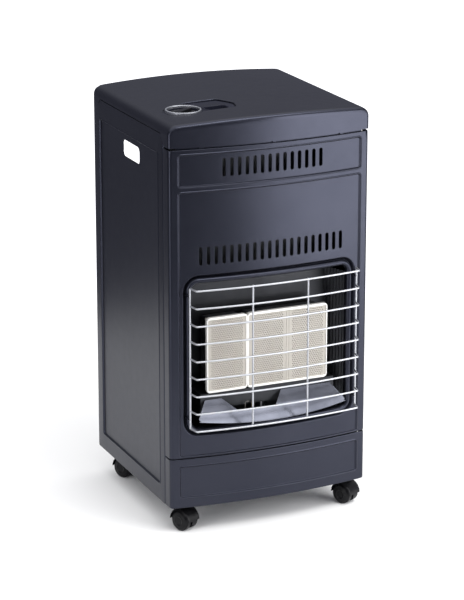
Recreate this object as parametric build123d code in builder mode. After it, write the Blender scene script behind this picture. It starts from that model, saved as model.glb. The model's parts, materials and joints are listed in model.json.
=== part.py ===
from build123d import *
from math import cos, radians, sin, sqrt
import os

# ---------------------------------------------------------------------------
# A portable gas cabinet heater: a bow-fronted steel cabinet on four swivelling
# twin-wheel casters, with three ceramic burner plaques behind a wire guard.
# Millimetres. +X is on the right for somebody facing the heater, +Y runs to
# the back and +Z is up. The origin is on the floor, under the middle of it all.
# ---------------------------------------------------------------------------

# Cabinet
width = 400.0
depth = 375.0
cabinet_bottom = 55.0
cabinet_top = 743.0
front_top = 740.5
tongue_top = 764.0
side_top = 767.0
rail_top = 760.0
bow_rise = 18.3
sheet = 1.0
corner_radius = 7.0
front_return = 25.0
tongue_inset = 4.0
bow_step = 44.7
bow_steps = 4
seam_gap = 0.6
plinth_top = 152.0

# Lid
lid_overhang = 1.0
lid_corner_top = 783.0
lid_crown = 9.0
lid_side_skirt_bottom = 766.0
lid_rear_skirt_bottom = 752.0
lid_side_radius = 18.0
lid_front_radius = 7.0
lid_wall = 0.8

# Pressed fields in the sheet metal
press_depth = 2.0
field_radius = 8.0
field_half_width = 183.0
upper_field = (670.5, 729.5)
main_field = (156.0, 660.0)
plinth_field = (75.0, 136.0)
side_field_y = (51.0, 345.0)
side_field_z = (88.0, 725.0)

# Vent slots in the front
slot_pitch = 14.9
slot_width = 6.5
slot_length = 34.0
upper_slots = (14, 701.8)
main_slots = (20, 538.6)

# Fire opening, with a groove and a raised rim drawn round it
opening_centre_z = 348.0
opening_size = (330.0, 290.0)
opening_radius = 20.0
rim_wall = 2.5
rim_back = 10.0
rim_setback = 0.6
groove_width = 6.0
groove_depth = 3.0

# Handle cut-outs in the sides
handle_centre = (175.5, 696.5)
handle_size = (70.0, 31.0)
handle_radius = 8.0
handle_lip = 6.0

# Wire guard
wire = 4.0
guard_stand_off = 35.0
guard_half_width = 170.5
guard_bottom = 216.0
guard_pitch = 33.6
guard_wire_count = 9
guard_weld = 0.3
guard_inner_x = 55.5
guard_return = 18.0
guard_bend = 6.0

# Burners
plaque_size = (77.0, 13.0, 140.0)
plaque_pitch = 82.0
burner_front = 7.0
burner_centre_z = 341.0
frame_depth = 20.0
frame_lip = 3.0
frame_radius = 6.0
box_depth = 26.0
venturi_radius = 11.0
venturi_throat = 8.0
venturi_bottom = 178.0

# Inner sheets
partition_y = 66.0
firebox_back_y = 60.0
firebox_top = 494.0
firebox_floor = 200.0

# Gas line
tap_centre = (-131.0, 95.0)
pipe_radius = 3.0
pilot_pipe_radius = 2.0
injector_z = 160.0
injector_y = 40.0

# Controls in the lid
knob_radius = 27.0
knob_well = 30.0
ring_radius = 34.0
button_centre = (-68.0, 89.0)
button_size = (40.0, 28.0)
recess_corner = (-27.0, 144.0)
recess_floor = 784.5
ring_top = 790.5

# Casters
caster_wheel_radius = 20.0
caster_wheel_width = 15.0
caster_gap = 7.0
caster_trail = 16.0
caster_angle = -27.0
caster_x = 168.0
caster_front_y = 42.0
caster_rear_y = 340.0
hood_radius = 23.5
hood_wall = 2.0
hood_top = 47.5
stem_radius = 4.0
axle_radius = 2.5
running = 0.05
pressed = 0.02

# Worked out from the values above
half_width = width / 2
guard_reach = bow_rise + guard_stand_off + wire / 2
front_y = -(depth + lid_overhang - guard_reach) / 2
bow_radius = (half_width**2 + bow_rise**2) / (2 * bow_rise)
bow_centre_y = front_y - bow_rise + bow_radius
rear_y = front_y + depth
wheel_z = caster_wheel_radius
frame_height = plaque_size[2] + 2 * frame_lip
guard_radius = bow_radius + guard_stand_off


def back(y):
    """A place measured back from the cabinet's front corners."""
    return front_y + y


def bow_y(x, inset=0.0):
    """Where the bowed front lies at x, moved in by inset."""
    return bow_centre_y - sqrt((bow_radius - inset) ** 2 - x**2)


def facing(y):
    """A plane seen from the front: its x is X and its y is Z."""
    return Plane.XZ.offset(-y)


def finish(part, name):
    """Label a piece and write it under its own name."""
    part.label = name
    export_step(part, f"parts/{name}.step")


def cabinet_plan(inset, rear, mode=Mode.ADD):
    """The cabinet's plan with its bowed front, its walls moved in by inset."""
    half = half_width - inset
    corner = bow_y(half, inset)
    stations = [-half] + [step * bow_step for step in range(-bow_steps, bow_steps + 1)] + [half]
    with BuildSketch(Plane.XY, mode=Mode.PRIVATE) as plan:
        with BuildLine():
            for start, end in zip(stations, stations[1:]):
                middle = (start + end) / 2
                ThreePointArc(
                    (start, bow_y(start, inset)),
                    (middle, bow_y(middle, inset)),
                    (end, bow_y(end, inset)),
                )
            Polyline((half, corner), (half, rear), (-half, rear), (-half, corner))
        make_face()
        front_corners = plan.vertices().filter_by(
            lambda vertex: abs(vertex.X) > half - sheet / 2 and vertex.Y < rear - sheet
        )
        fillet(front_corners, max(corner_radius - inset, sheet))
    add(plan.sketch, clean=False, mode=mode)


def front_shell(bottom, top, inset_from, inset_to):
    """A sheet that follows the bowed front, between two depths below its face."""
    with BuildPart() as shell:
        with BuildSketch(Plane.XY.offset(bottom)):
            cabinet_plan(inset_from, back(front_return))
            cabinet_plan(inset_to, back(front_return + sheet), mode=Mode.SUBTRACT)
        extrude(amount=top - bottom, clean=False)
    return shell.part


def pressed_field(size, centre_z, radius, inset_from, inset_to):
    """The part of such a sheet that lies behind a rounded rectangle."""
    with BuildPart() as field:
        reach = size[1] / 2 + sheet
        add(front_shell(centre_z - reach, centre_z + reach, inset_from, inset_to), clean=False)
        with BuildSketch(facing(back(front_return))):
            with Locations((0, centre_z)):
                RectangleRounded(size[0], size[1], radius)
        extrude(amount=front_return + 2 * bow_rise, mode=Mode.INTERSECT, clean=False)
    return field.part


def press(panel_field):
    """Press one field, given as its bottom and top, into a front panel."""
    size = (2 * field_half_width, panel_field[1] - panel_field[0])
    centre = (panel_field[0] + panel_field[1]) / 2
    outer = (size[0] + 2 * sheet, size[1] + 2 * sheet)
    skin = pressed_field(outer, centre, field_radius + sheet, sheet / 2, press_depth + sheet)
    pocket = pressed_field(size, centre, field_radius, -sheet, press_depth)
    add(skin, clean=False)
    add(pocket, mode=Mode.SUBTRACT, clean=False)


def vent_row(count, centre_z):
    """The bars that cut a row of upright slots through a front panel."""
    with BuildPart() as bars:
        with BuildSketch(facing(back(front_return - 3 * sheet))):
            with Locations((0, centre_z)):
                with GridLocations(slot_pitch, 1, count, 1):
                    SlotOverall(slot_length, slot_width, rotation=90)
        extrude(amount=front_return + 2 * bow_rise)
    return bars.part


def tube_along(path, radius):
    """A round bar swept along a line."""
    with BuildPart() as bar:
        with BuildSketch(Plane(origin=path @ 0, z_dir=path % 0)):
            Circle(radius)
        sweep(path=path)
    return bar.part


def front_tongue():
    """The edge of the front panel that stands up behind the lid's front skirt."""
    with BuildPart() as tongue:
        low, high = front_top - sheet, tongue_top
        add(front_shell(low, high, tongue_inset, tongue_inset + sheet), clean=False)
        with BuildSketch(facing(back(tongue_inset))):
            with Locations((0, (low + high) / 2)):
                Rectangle(2 * (half_width - 2 * corner_radius), high - low)
        extrude(amount=2 * bow_rise, mode=Mode.INTERSECT, clean=False)
    return tongue.part


def opening_rim():
    """The rim round the fire opening, from just behind the bowed face to a flat back."""
    with BuildPart() as rim:
        with BuildSketch(Plane.XY.offset(plinth_top)):
            cabinet_plan(rim_setback, back(rim_back))
        extrude(amount=front_top - plinth_top, clean=False)
        with BuildSketch(facing(back(rim_back))):
            with Locations((0, opening_centre_z)):
                RectangleRounded(*rim_outer, opening_radius + rim_wall)
        extrude(amount=rim_back + 2 * bow_rise, mode=Mode.INTERSECT, clean=False)
    return rim.part


rim_outer = (opening_size[0] + 2 * rim_wall, opening_size[1] + 2 * rim_wall)
groove_outer = (rim_outer[0] + 2 * groove_width, rim_outer[1] + 2 * groove_width)
groove_back = press_depth + groove_depth

os.makedirs("parts", exist_ok=True)

# ---------------------------------------------------------------------------
# Front panel: two pressed fields, two rows of vents, the fire opening with its
# drawn rim, and four holes for the feet of the guard.
# ---------------------------------------------------------------------------
guard_feet_z = (guard_bottom + guard_pitch / 2, guard_bottom + 7.5 * guard_pitch)

with BuildPart() as front_panel:
    add(front_shell(plinth_top, front_top, 0, sheet), clean=False)
    add(front_shell(front_top - sheet, front_top, sheet / 2, tongue_inset + sheet), clean=False)
    add(front_tongue(), clean=False)
    press(upper_field)
    press(main_field)
    add(
        pressed_field(
            (groove_outer[0] + 2 * sheet, groove_outer[1] + 2 * sheet),
            opening_centre_z,
            opening_radius + rim_wall + groove_width + sheet,
            press_depth + sheet / 2,
            groove_back + sheet,
        ),
        clean=False,
    )
    add(
        pressed_field(
            groove_outer,
            opening_centre_z,
            opening_radius + rim_wall + groove_width,
            -sheet,
            groove_back,
        ),
        mode=Mode.SUBTRACT,
        clean=False,
    )
    add(opening_rim(), clean=False)
    with BuildSketch(facing(back(front_return + sheet))):
        with Locations((0, opening_centre_z)):
            RectangleRounded(*opening_size, opening_radius)
    extrude(amount=front_return + 3 * bow_rise, mode=Mode.SUBTRACT, clean=False)
    add(vent_row(*upper_slots), mode=Mode.SUBTRACT, clean=False)
    add(vent_row(*main_slots), mode=Mode.SUBTRACT, clean=False)
    with BuildSketch(facing(back(front_return - 3 * sheet))):
        for foot_z in guard_feet_z:
            with Locations((-guard_half_width, foot_z), (guard_half_width, foot_z)):
                Circle(wire / 2 + running)
    extrude(amount=front_return + bow_rise, mode=Mode.SUBTRACT, clean=False)
finish(front_panel.part, "front_panel")

# ---------------------------------------------------------------------------
# Plinth panel below it, with one pressed field.
# ---------------------------------------------------------------------------
with BuildPart() as plinth_panel:
    add(front_shell(cabinet_bottom, plinth_top - seam_gap, 0, sheet), clean=False)
    press(plinth_field)
finish(plinth_panel.part, "plinth_panel")


# ---------------------------------------------------------------------------
# Side panels: flanged sheets with a large pressed field and a rolled handle
# cut-out near the top.
# ---------------------------------------------------------------------------
side_front = back(front_return) + seam_gap
side_flange = 14.0
flange_bottom = 82.0
fold_radius = 3.5


def side_panel(side):
    """One side panel; side is -1 for the left one and 1 for the right one."""
    face = side * half_width
    inward = -side
    field_y = back((side_field_y[0] + side_field_y[1]) / 2)
    field_z = (side_field_z[0] + side_field_z[1]) / 2
    field = (side_field_y[1] - side_field_y[0], side_field_z[1] - side_field_z[0])
    rolled = (handle_size[0] + 2 * sheet, handle_size[1] + 2 * sheet)
    handle_at = (back(handle_centre[0]), handle_centre[1])
    with BuildPart() as panel:
        with BuildSketch(Plane.XY.offset(cabinet_bottom)) as section:
            with BuildLine():
                Polyline(
                    (face + inward * side_flange, side_front),
                    (face, side_front),
                    (face, rear_y),
                    (face + inward * side_flange, rear_y),
                    (face + inward * side_flange, rear_y - sheet),
                    (face + inward * sheet, rear_y - sheet),
                    (face + inward * sheet, side_front + sheet),
                    (face + inward * side_flange, side_front + sheet),
                    close=True,
                )
            make_face()
            folds = section.vertices().sort_by(Axis.X, reverse=side > 0)
            fillet(folds[0:2], fold_radius)
            folds = section.vertices().filter_by(
                lambda corner: abs(abs(corner.X) - half_width + sheet) < sheet / 2
            )
            fillet(folds, fold_radius - sheet)
        extrude(amount=side_top - cabinet_bottom)
        with BuildSketch(Plane.XY.offset(cabinet_bottom)):
            with Locations((face + inward * (side_flange / 2 + 2 * sheet), side_front)):
                Rectangle(side_flange + 2 * sheet, 4 * sheet)
        extrude(amount=flange_bottom - cabinet_bottom, mode=Mode.SUBTRACT)
        with BuildSketch(Plane.YZ.offset(face)):
            with Locations((field_y, field_z)):
                RectangleRounded(field[0] + 2 * sheet, field[1] + 2 * sheet, field_radius + sheet)
        extrude(amount=inward * (press_depth + sheet))
        with BuildSketch(Plane.YZ.offset(face)):
            with Locations((field_y, field_z)):
                RectangleRounded(*field, field_radius)
        extrude(amount=inward * press_depth, mode=Mode.SUBTRACT)
        with BuildSketch(Plane.YZ.offset(face + inward * press_depth)):
            with Locations(handle_at):
                RectangleRounded(*rolled, handle_radius + sheet)
        extrude(amount=inward * handle_lip)
        with BuildSketch(Plane.YZ.offset(face)):
            with Locations(handle_at):
                RectangleRounded(*handle_size, handle_radius)
        extrude(amount=inward * (press_depth + handle_lip), mode=Mode.SUBTRACT)
    return panel.part


finish(side_panel(-1), "side_panel_left")
finish(side_panel(1), "side_panel_right")

# ---------------------------------------------------------------------------
# Lid: a crowned cover with a bowed front, rounded sides and a skirt that is
# deep at the corners and shallow along the sides.
# ---------------------------------------------------------------------------
lid_half = half_width + lid_overhang
lid_rear = rear_y + lid_overhang
lid_top = lid_corner_top + lid_crown


def lid_plan(inset, front_corner, rear_corner):
    """The lid's plan with its bowed front, its walls moved in by inset."""
    half = lid_half - inset
    front = bow_y(half_width, -lid_overhang) + inset
    with BuildSketch(Plane.XY, mode=Mode.PRIVATE) as plan:
        with BuildLine():
            ThreePointArc((-half, front), (0, bow_y(0, -lid_overhang) + inset), (half, front))
            Polyline(
                (half, front), (half, lid_rear - inset), (-half, lid_rear - inset), (-half, front)
            )
        make_face()
        if front_corner > 0:
            fillet(plan.vertices().group_by(Axis.Y)[0], front_corner)
        fillet(plan.vertices().group_by(Axis.Y)[-1], rear_corner)
    add(plan.sketch)


def lid_solid(inset):
    """The lid's outer form, or the hollow inside it when inset is its wall."""
    half = lid_half - inset
    shoulder = lid_corner_top - inset
    with BuildPart() as form:
        with BuildSketch(facing(lid_rear - inset)) as section:
            with BuildLine():
                ThreePointArc((-half, shoulder), (0, lid_top - inset), (half, shoulder))
                Polyline((half, shoulder), (half, cabinet_top), (-half, cabinet_top), (-half, shoulder))
            make_face()
            fillet(section.vertices().group_by(Axis.Y)[-1], lid_side_radius - inset)
        extrude(amount=depth + 4 * bow_rise)
        with BuildSketch(Plane.XY.offset(cabinet_top)):
            lid_plan(inset, 0, fold_radius + lid_overhang - inset)
        extrude(amount=lid_top, mode=Mode.INTERSECT)
        across_front = form.edges().filter_by(
            lambda edge: edge.bounding_box().max.Y < front_y + corner_radius
            and edge.bounding_box().min.Z > cabinet_top + 1
            and edge.bounding_box().size.X > 0.01
        )
        fillet(across_front, lid_front_radius - inset)
        with BuildSketch(Plane.XY.offset(cabinet_top)):
            rear_corner = fold_radius + lid_overhang - inset
            lid_plan(inset, corner_radius + lid_overhang - inset, rear_corner)
        extrude(amount=lid_top, mode=Mode.INTERSECT)
    return form.part


skirt_ends = (back(24.0), rear_y - 26.0)
skirt_drop = 12.0


def recess_outline(grow):
    """The keyhole-shaped recess for the knob and the button, grown by grow."""
    knob_at = (tap_centre[0], back(tap_centre[1]))
    corner = (recess_corner[0], back(recess_corner[1]))
    low = back(button_centre[1]) - button_size[1] / 2 - 6
    with BuildSketch(Plane.XY, mode=Mode.PRIVATE) as outline:
        with Locations(knob_at):
            Circle(ring_radius + 3 + grow)
        with BuildLine():
            Polyline(
                (knob_at[0] - 20, knob_at[1] + 27 + grow),
                (knob_at[0] + 18, corner[1] + grow),
                (corner[0] - 18, corner[1] + grow),
                (corner[0] + grow, corner[1] - 40),
                (corner[0] - 12 + grow, low - grow),
                (knob_at[0], low - grow),
                close=True,
            )
        make_face()
    add(outline.sketch)


with BuildPart() as lid:
    add(lid_solid(0))
    add(lid_solid(lid_wall), mode=Mode.SUBTRACT)
    with BuildSketch(Plane.YZ.offset(-lid_half - 1)):
        with BuildLine():
            Polyline(
                (skirt_ends[0], cabinet_top - 1),
                (skirt_ends[0] + skirt_drop, lid_side_skirt_bottom),
                (skirt_ends[1] - skirt_drop, lid_side_skirt_bottom),
                (skirt_ends[1], lid_rear_skirt_bottom),
                (lid_rear + 1, lid_rear_skirt_bottom),
                (lid_rear + 1, cabinet_top - 1),
                close=True,
            )
        make_face()
    extrude(amount=2 * lid_half + 2, mode=Mode.SUBTRACT)
    with BuildSketch(Plane.XY.offset(lid_side_skirt_bottom)):
        recess_outline(0)
    extrude(amount=lid_top, mode=Mode.SUBTRACT)
finish(lid.part, "lid")

# ---------------------------------------------------------------------------
# Control bezel: a moulded insert that fills the recess, with wells for the knob
# and the ignition button, and a bright ring round the knob.
# ---------------------------------------------------------------------------
bezel_wall = 1.5
knob_x = tap_centre[0]
knob_y = back(tap_centre[1])
button_x = button_centre[0]
button_y = back(button_centre[1])
well_depth = 13.0
ring_round = 1.2

with BuildPart() as control_bezel:
    add(lid_solid(lid_wall / 2))
    with BuildSketch(Plane.XY.offset(recess_floor - bezel_wall)):
        recess_outline(0)
    extrude(amount=lid_top, mode=Mode.INTERSECT)
    with BuildSketch(Plane.XY.offset(recess_floor)):
        recess_outline(-bezel_wall)
    extrude(amount=lid_top, mode=Mode.SUBTRACT)
    with BuildSketch(Plane.XY.offset(recess_floor - well_depth)):
        with Locations((knob_x, knob_y)):
            Circle(knob_well + bezel_wall)
        with Locations((button_x, button_y)):
            RectangleRounded(button_size[0] + 6, button_size[1] + 6, 10)
    extrude(amount=well_depth)
    with BuildSketch(Plane.XY.offset(recess_floor - well_depth + bezel_wall)):
        with Locations((knob_x, knob_y)):
            Circle(knob_well)
        with Locations((button_x, button_y)):
            RectangleRounded(button_size[0] + 2, button_size[1] + 2, 8)
    extrude(amount=well_depth + ring_top, mode=Mode.SUBTRACT)
    with BuildSketch(Plane.XY.offset(recess_floor - well_depth)):
        with Locations((knob_x, knob_y)):
            Circle(8)
        with Locations((button_x, button_y)):
            Circle(6.5)
    extrude(amount=well_depth, mode=Mode.SUBTRACT)
finish(control_bezel.part, "control_bezel")

with BuildPart() as knob_ring:
    with BuildSketch(Plane.XY.offset(recess_floor)):
        with Locations((knob_x, knob_y)):
            Circle(ring_radius)
            Circle(knob_well, mode=Mode.SUBTRACT)
    extrude(amount=ring_top - recess_floor)
    fillet(knob_ring.faces().sort_by(Axis.Z)[-1].edges(), ring_round)
finish(knob_ring.part, "knob_ring")

# ---------------------------------------------------------------------------
# Control knob: a round skirted knob with a raised grip bar across it.
# ---------------------------------------------------------------------------
knob_travel = 3.0
knob_bottom = recess_floor - well_depth + bezel_wall + knob_travel + 1.5
knob_top = ring_top - 1.5
grip_angle = 35.0

with BuildPart() as control_knob:
    with BuildSketch(Plane.XY.offset(knob_bottom)):
        with Locations((knob_x, knob_y)):
            Circle(knob_radius)
    extrude(amount=knob_top - 5 - knob_bottom, taper=4)
    rim = control_knob.faces().sort_by(Axis.Z)[-1].edges()
    fillet(rim, 1.5)
    with BuildSketch(Plane.XY.offset(knob_top - 6)):
        with Locations((knob_x, knob_y)):
            RectangleRounded(46, 13, 5, rotation=grip_angle)
    extrude(amount=6, taper=12)
    with BuildSketch(Plane.XY.offset(knob_bottom - 6)):
        with Locations((knob_x, knob_y)):
            Circle(7)
    extrude(amount=6)
    with BuildSketch(Plane.XY.offset(knob_bottom - 6)):
        with Locations((knob_x, knob_y)):
            Circle(3 + running)
    extrude(amount=13, mode=Mode.SUBTRACT)
finish(control_knob.part, "control_knob")

# ---------------------------------------------------------------------------
# Ignition button: a rounded key with a push rod under it.
# ---------------------------------------------------------------------------
button_top = recess_floor - 1.0
igniter_top = 752.0

with BuildPart() as piezo_button:
    with BuildSketch(Plane.XY.offset(button_top - 4)):
        with Locations((button_x, button_y)):
            RectangleRounded(button_size[0] - 2, button_size[1] - 2, 7)
    extrude(amount=4)
    fillet(piezo_button.faces().sort_by(Axis.Z)[-1].edges(), 1.5)
    with BuildSketch(Plane.XY.offset(igniter_top + 0.5)):
        with Locations((button_x, button_y)):
            Circle(5)
    extrude(amount=button_top - 4 - igniter_top - 0.5)
finish(piezo_button.part, "piezo_button")

# ---------------------------------------------------------------------------
# Piezo igniter: a moulded body under the bezel, with a spade terminal.
# ---------------------------------------------------------------------------
with BuildPart() as piezo_igniter:
    with BuildSketch(Plane.XY.offset(700)):
        with Locations((button_x, button_y)):
            Circle(10)
    extrude(amount=igniter_top - 700)
    with BuildSketch(Plane.XY.offset(igniter_top - 8)):
        with Locations((button_x, button_y)):
            RegularPolygon(14, 6)
    extrude(amount=6)
    with BuildSketch(Plane.XY.offset(igniter_top - 12)):
        with Locations((button_x, button_y)):
            Circle(6)
    extrude(amount=12, mode=Mode.SUBTRACT)
    with BuildSketch(Plane.XY.offset(688)):
        with Locations((button_x, button_y)):
            Rectangle(6, 0.8)
    extrude(amount=12)
finish(piezo_igniter.part, "piezo_igniter")

# ---------------------------------------------------------------------------
# Control bracket: the shelf under the lid that carries the tap and igniter.
# ---------------------------------------------------------------------------
bracket_z = 741.0
with BuildPart() as control_bracket:
    with BuildSketch(Plane.XY.offset(bracket_z)):
        with BuildLine():
            Polyline(
                (-half_width + 2 * sheet, back(partition_y) + sheet),
                (-30, back(partition_y) + sheet),
                (-30, back(130)),
                (-half_width + 2 * sheet, back(130)),
                close=True,
            )
        make_face()
    extrude(amount=-1.5)
    with BuildSketch(Plane.XY.offset(bracket_z)):
        with Locations((-30 - 0.75, back((partition_y + sheet + 130) / 2))):
            Rectangle(1.5, 130 - partition_y - sheet)
    extrude(amount=-14)
    with BuildSketch(Plane.XY.offset(bracket_z - 2)):
        with Locations((knob_x, knob_y)):
            Circle(9 + running)
        with Locations((button_x, button_y)):
            Circle(10 + running)
    extrude(amount=4, mode=Mode.SUBTRACT)
finish(control_bracket.part, "control_bracket")

# ---------------------------------------------------------------------------
# Gas tap: a brass body with a threaded neck, three outlets and a side inlet.
# ---------------------------------------------------------------------------
tap_bottom = 700.0
tap_top = 752.0
outlet_x = (knob_x - 15, knob_x, knob_x + 15)
outlet_y = knob_y - 8.0

with BuildPart() as gas_tap:
    with BuildSketch(Plane.XY.offset(tap_bottom)):
        with Locations((knob_x, knob_y)):
            RectangleRounded(44, 30, 5)
    extrude(amount=26)
    fillet(gas_tap.edges().filter_by(GeomType.LINE).group_by(Axis.Z)[-1], 1.5)
    with BuildSketch(Plane.XY.offset(tap_bottom + 26)):
        with Locations((knob_x, knob_y)):
            Circle(12)
    extrude(amount=bracket_z - 1.5 - tap_bottom - 26)
    with BuildSketch(Plane.XY.offset(bracket_z - 1.5)):
        with Locations((knob_x, knob_y)):
            Circle(9)
    extrude(amount=tap_top - bracket_z + 1.5)
    with BuildSketch(Plane.XY.offset(tap_bottom + 12)):
        with Locations((knob_x, knob_y)):
            Circle(4 + running)
    extrude(amount=tap_top - tap_bottom, mode=Mode.SUBTRACT)
    with BuildSketch(facing(knob_y + 15)):
        with Locations((knob_x, tap_bottom + 13)):
            Circle(8)
    extrude(amount=-8)
    with BuildSketch(facing(knob_y + 26)):
        with Locations((knob_x, tap_bottom + 13)):
            Circle(5)
    extrude(amount=14, mode=Mode.SUBTRACT)
finish(gas_tap.part, "gas_tap")

with BuildPart() as tap_spindle:
    with BuildSketch(Plane.XY.offset(tap_bottom + 12.5)):
        with Locations((knob_x, knob_y)):
            Circle(4)
    extrude(amount=tap_top - tap_bottom - 12)
    with BuildSketch(Plane.XY.offset(tap_top)):
        with Locations((knob_x, knob_y)):
            Circle(3)
    extrude(amount=knob_bottom - 6 + 8 - tap_top)
finish(tap_spindle.part, "tap_spindle")

# ---------------------------------------------------------------------------
# Hose tail: the ribbed spigot where the low-pressure hose is pushed on.
# ---------------------------------------------------------------------------
spigot_start = knob_y + 23.0
spigot_ribs = 4
with BuildPart() as hose_tail:
    with BuildSketch(Plane.YZ.offset(knob_x)):
        with BuildLine():
            stations = [(spigot_start - 8, 0), (spigot_start - 8, 4.98), (spigot_start, 4.98)]
            stations += [(spigot_start, 8), (spigot_start + 5, 8), (spigot_start + 5, 4)]
            for rib in range(spigot_ribs):
                rib_at = spigot_start + 8 + rib * 5.5
                stations += [(rib_at, 4), (rib_at, 5.2), (rib_at + 4, 4)]
            stations += [(spigot_start + 32, 3.6), (spigot_start + 32, 0)]
            axis_z = tap_bottom + 13
            Polyline(*[(y, axis_z + r) for y, r in stations], close=True)
        make_face()
    revolve(axis=Axis((knob_x, 0, axis_z), (0, 1, 0)))
    with BuildSketch(facing(spigot_start + 33)):
        with Locations((knob_x, axis_z)):
            Circle(2.4)
    extrude(amount=42, mode=Mode.SUBTRACT)
finish(hose_tail.part, "hose_tail")

# ---------------------------------------------------------------------------
# Base pan: a folded tray with a raised, vented stand for the bottle, and seats
# for the caster sockets.
# ---------------------------------------------------------------------------
base_z = 57.0
base_wall = 1.2
base_rim = 22.0
caster_places = [
    (name, x, back(y))
    for name, x, y in (
        ("front_left", -caster_x, caster_front_y),
        ("front_right", caster_x, caster_front_y),
        ("rear_left", -caster_x, caster_rear_y),
        ("rear_right", caster_x, caster_rear_y),
    )
]
socket_radius = 7.0
pan_inset = press_depth + 2 * sheet + 0.1
pan_clear = sheet + 0.1
stand_size = (296.0, 240.0)
stand_radius = 12.0
stand_rise = 4.0
stand_y = back(222.0)

with BuildPart() as base_pan:
    with BuildSketch(Plane.XY.offset(base_z)):
        cabinet_plan(pan_inset, rear_y - pan_clear)
    extrude(amount=base_rim)
    with BuildSketch(Plane.XY.offset(base_z + base_wall)):
        cabinet_plan(pan_inset + base_wall, rear_y - pan_clear - base_wall)
    extrude(amount=base_rim, mode=Mode.SUBTRACT)
    with BuildSketch(Plane.XY.offset(base_z)):
        with Locations((0, stand_y)):
            RectangleRounded(*stand_size, stand_radius)
    extrude(amount=stand_rise + base_wall)
    with BuildSketch(Plane.XY.offset(base_z)):
        with Locations((0, stand_y)):
            stand_inner = [side - 2 * base_wall for side in stand_size]
            RectangleRounded(*stand_inner, stand_radius - base_wall)
    extrude(amount=stand_rise, mode=Mode.SUBTRACT)
    with BuildSketch(Plane.XY.offset(base_z - 1)):
        with Locations(*[(x, y) for _, x, y in caster_places]):
            Circle(socket_radius + running)
        with Locations((0, stand_y)):
            with GridLocations(60, 60, 4, 3):
                Circle(8)
    extrude(amount=base_wall + stand_rise + 2, mode=Mode.SUBTRACT)
finish(base_pan.part, "base_pan")

# ---------------------------------------------------------------------------
# Caster sockets: four pressed-in sleeves that hold the stems.
# ---------------------------------------------------------------------------
with BuildPart() as caster_sockets:
    for _, socket_x, socket_y in caster_places:
        with BuildSketch(Plane.XY.offset(base_z - 3)):
            with Locations((socket_x, socket_y)):
                Circle(socket_radius + 3)
        extrude(amount=3)
        with BuildSketch(Plane.XY.offset(base_z)):
            with Locations((socket_x, socket_y)):
                Circle(socket_radius)
        extrude(amount=26)
        with BuildSketch(Plane.XY.offset(base_z - 4)):
            with Locations((socket_x, socket_y)):
                Circle(stem_radius + running)
        extrude(amount=26, mode=Mode.SUBTRACT)
finish(caster_sockets.part, "caster_sockets")


# ---------------------------------------------------------------------------
# Casters: a moulded hood on a steel stem, and two wheels on one axle.
# ---------------------------------------------------------------------------
hood_half = caster_gap / 2 + caster_wheel_width - 1.5
hood_floor = wheel_z + 1.0
web_half = caster_gap / 2 - 0.5


def caster_frame(x, y):
    """A frame at a caster's pivot: its X is the axle, and its Y trails forward."""
    turn = radians(caster_angle)
    return Plane((x, y, 0), x_dir=(cos(-turn), sin(-turn), 0), z_dir=(0, 0, 1))


def across(frame, offset):
    """A plane square to the axle, offset from the middle of the caster."""
    return Plane(frame.from_local_coords((offset, 0, 0)), x_dir=frame.y_dir, z_dir=frame.x_dir)


def caster_hood(frame):
    """A half-round shell over both wheels, with a web between them."""
    middle = (-caster_trail, wheel_z)
    with BuildPart() as hood:
        with BuildSketch(across(frame, -hood_half)):
            with Locations(middle):
                Circle(hood_radius)
            with Locations((middle[0], hood_floor - hood_radius)):
                Rectangle(4 * hood_radius, 2 * hood_radius, mode=Mode.SUBTRACT)
        extrude(amount=2 * hood_half)
        fillet(hood.edges().filter_by(GeomType.CIRCLE), 3)
        with BuildSketch(across(frame, -hood_half - 1)):
            with Locations(middle):
                Circle(hood_radius - hood_wall)
        extrude(amount=2 * hood_half + 2, mode=Mode.SUBTRACT)
        with BuildSketch(across(frame, -web_half)):
            with Locations(middle):
                Circle(hood_radius - hood_wall + 0.5)
            with Locations((middle[0], -hood_radius + wheel_z - 8)):
                Rectangle(4 * hood_radius, 2 * hood_radius, mode=Mode.SUBTRACT)
        extrude(amount=2 * web_half)
        with BuildSketch(frame.offset(wheel_z + 8)):
            Circle(8.5)
        extrude(amount=hood_top - wheel_z - 8)
        with BuildSketch(across(frame, web_half)):
            with Locations(middle):
                Circle(caster_wheel_radius + 0.6)
        extrude(amount=hood_half, mode=Mode.SUBTRACT)
        with BuildSketch(across(frame, -web_half)):
            with Locations(middle):
                Circle(caster_wheel_radius + 0.6)
        extrude(amount=-hood_half, mode=Mode.SUBTRACT)
        with BuildSketch(frame.offset(wheel_z + 12)):
            Circle(stem_radius + pressed)
        extrude(amount=hood_top, mode=Mode.SUBTRACT)
        with BuildSketch(across(frame, -hood_half)):
            with Locations(middle):
                Circle(axle_radius + running)
        extrude(amount=2 * hood_half, mode=Mode.SUBTRACT)
    return hood.part


def caster_stem(frame):
    """The steel stem, with the groove for its retaining ring."""
    with BuildPart() as stem:
        with BuildSketch(frame.offset(wheel_z + 12)):
            Circle(stem_radius)
        extrude(amount=base_z + 16 - wheel_z - 12)
        chamfer(stem.faces().sort_by(Axis.Z)[-1].edges(), 1)
    return stem.part


def caster_axle(frame):
    """The axle that carries both wheels."""
    axle_half = caster_gap / 2 + caster_wheel_width - 3
    with BuildPart() as axle:
        with BuildSketch(across(frame, -axle_half)):
            with Locations((-caster_trail, wheel_z)):
                Circle(axle_radius)
        extrude(amount=2 * axle_half)
    return axle.part


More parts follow.
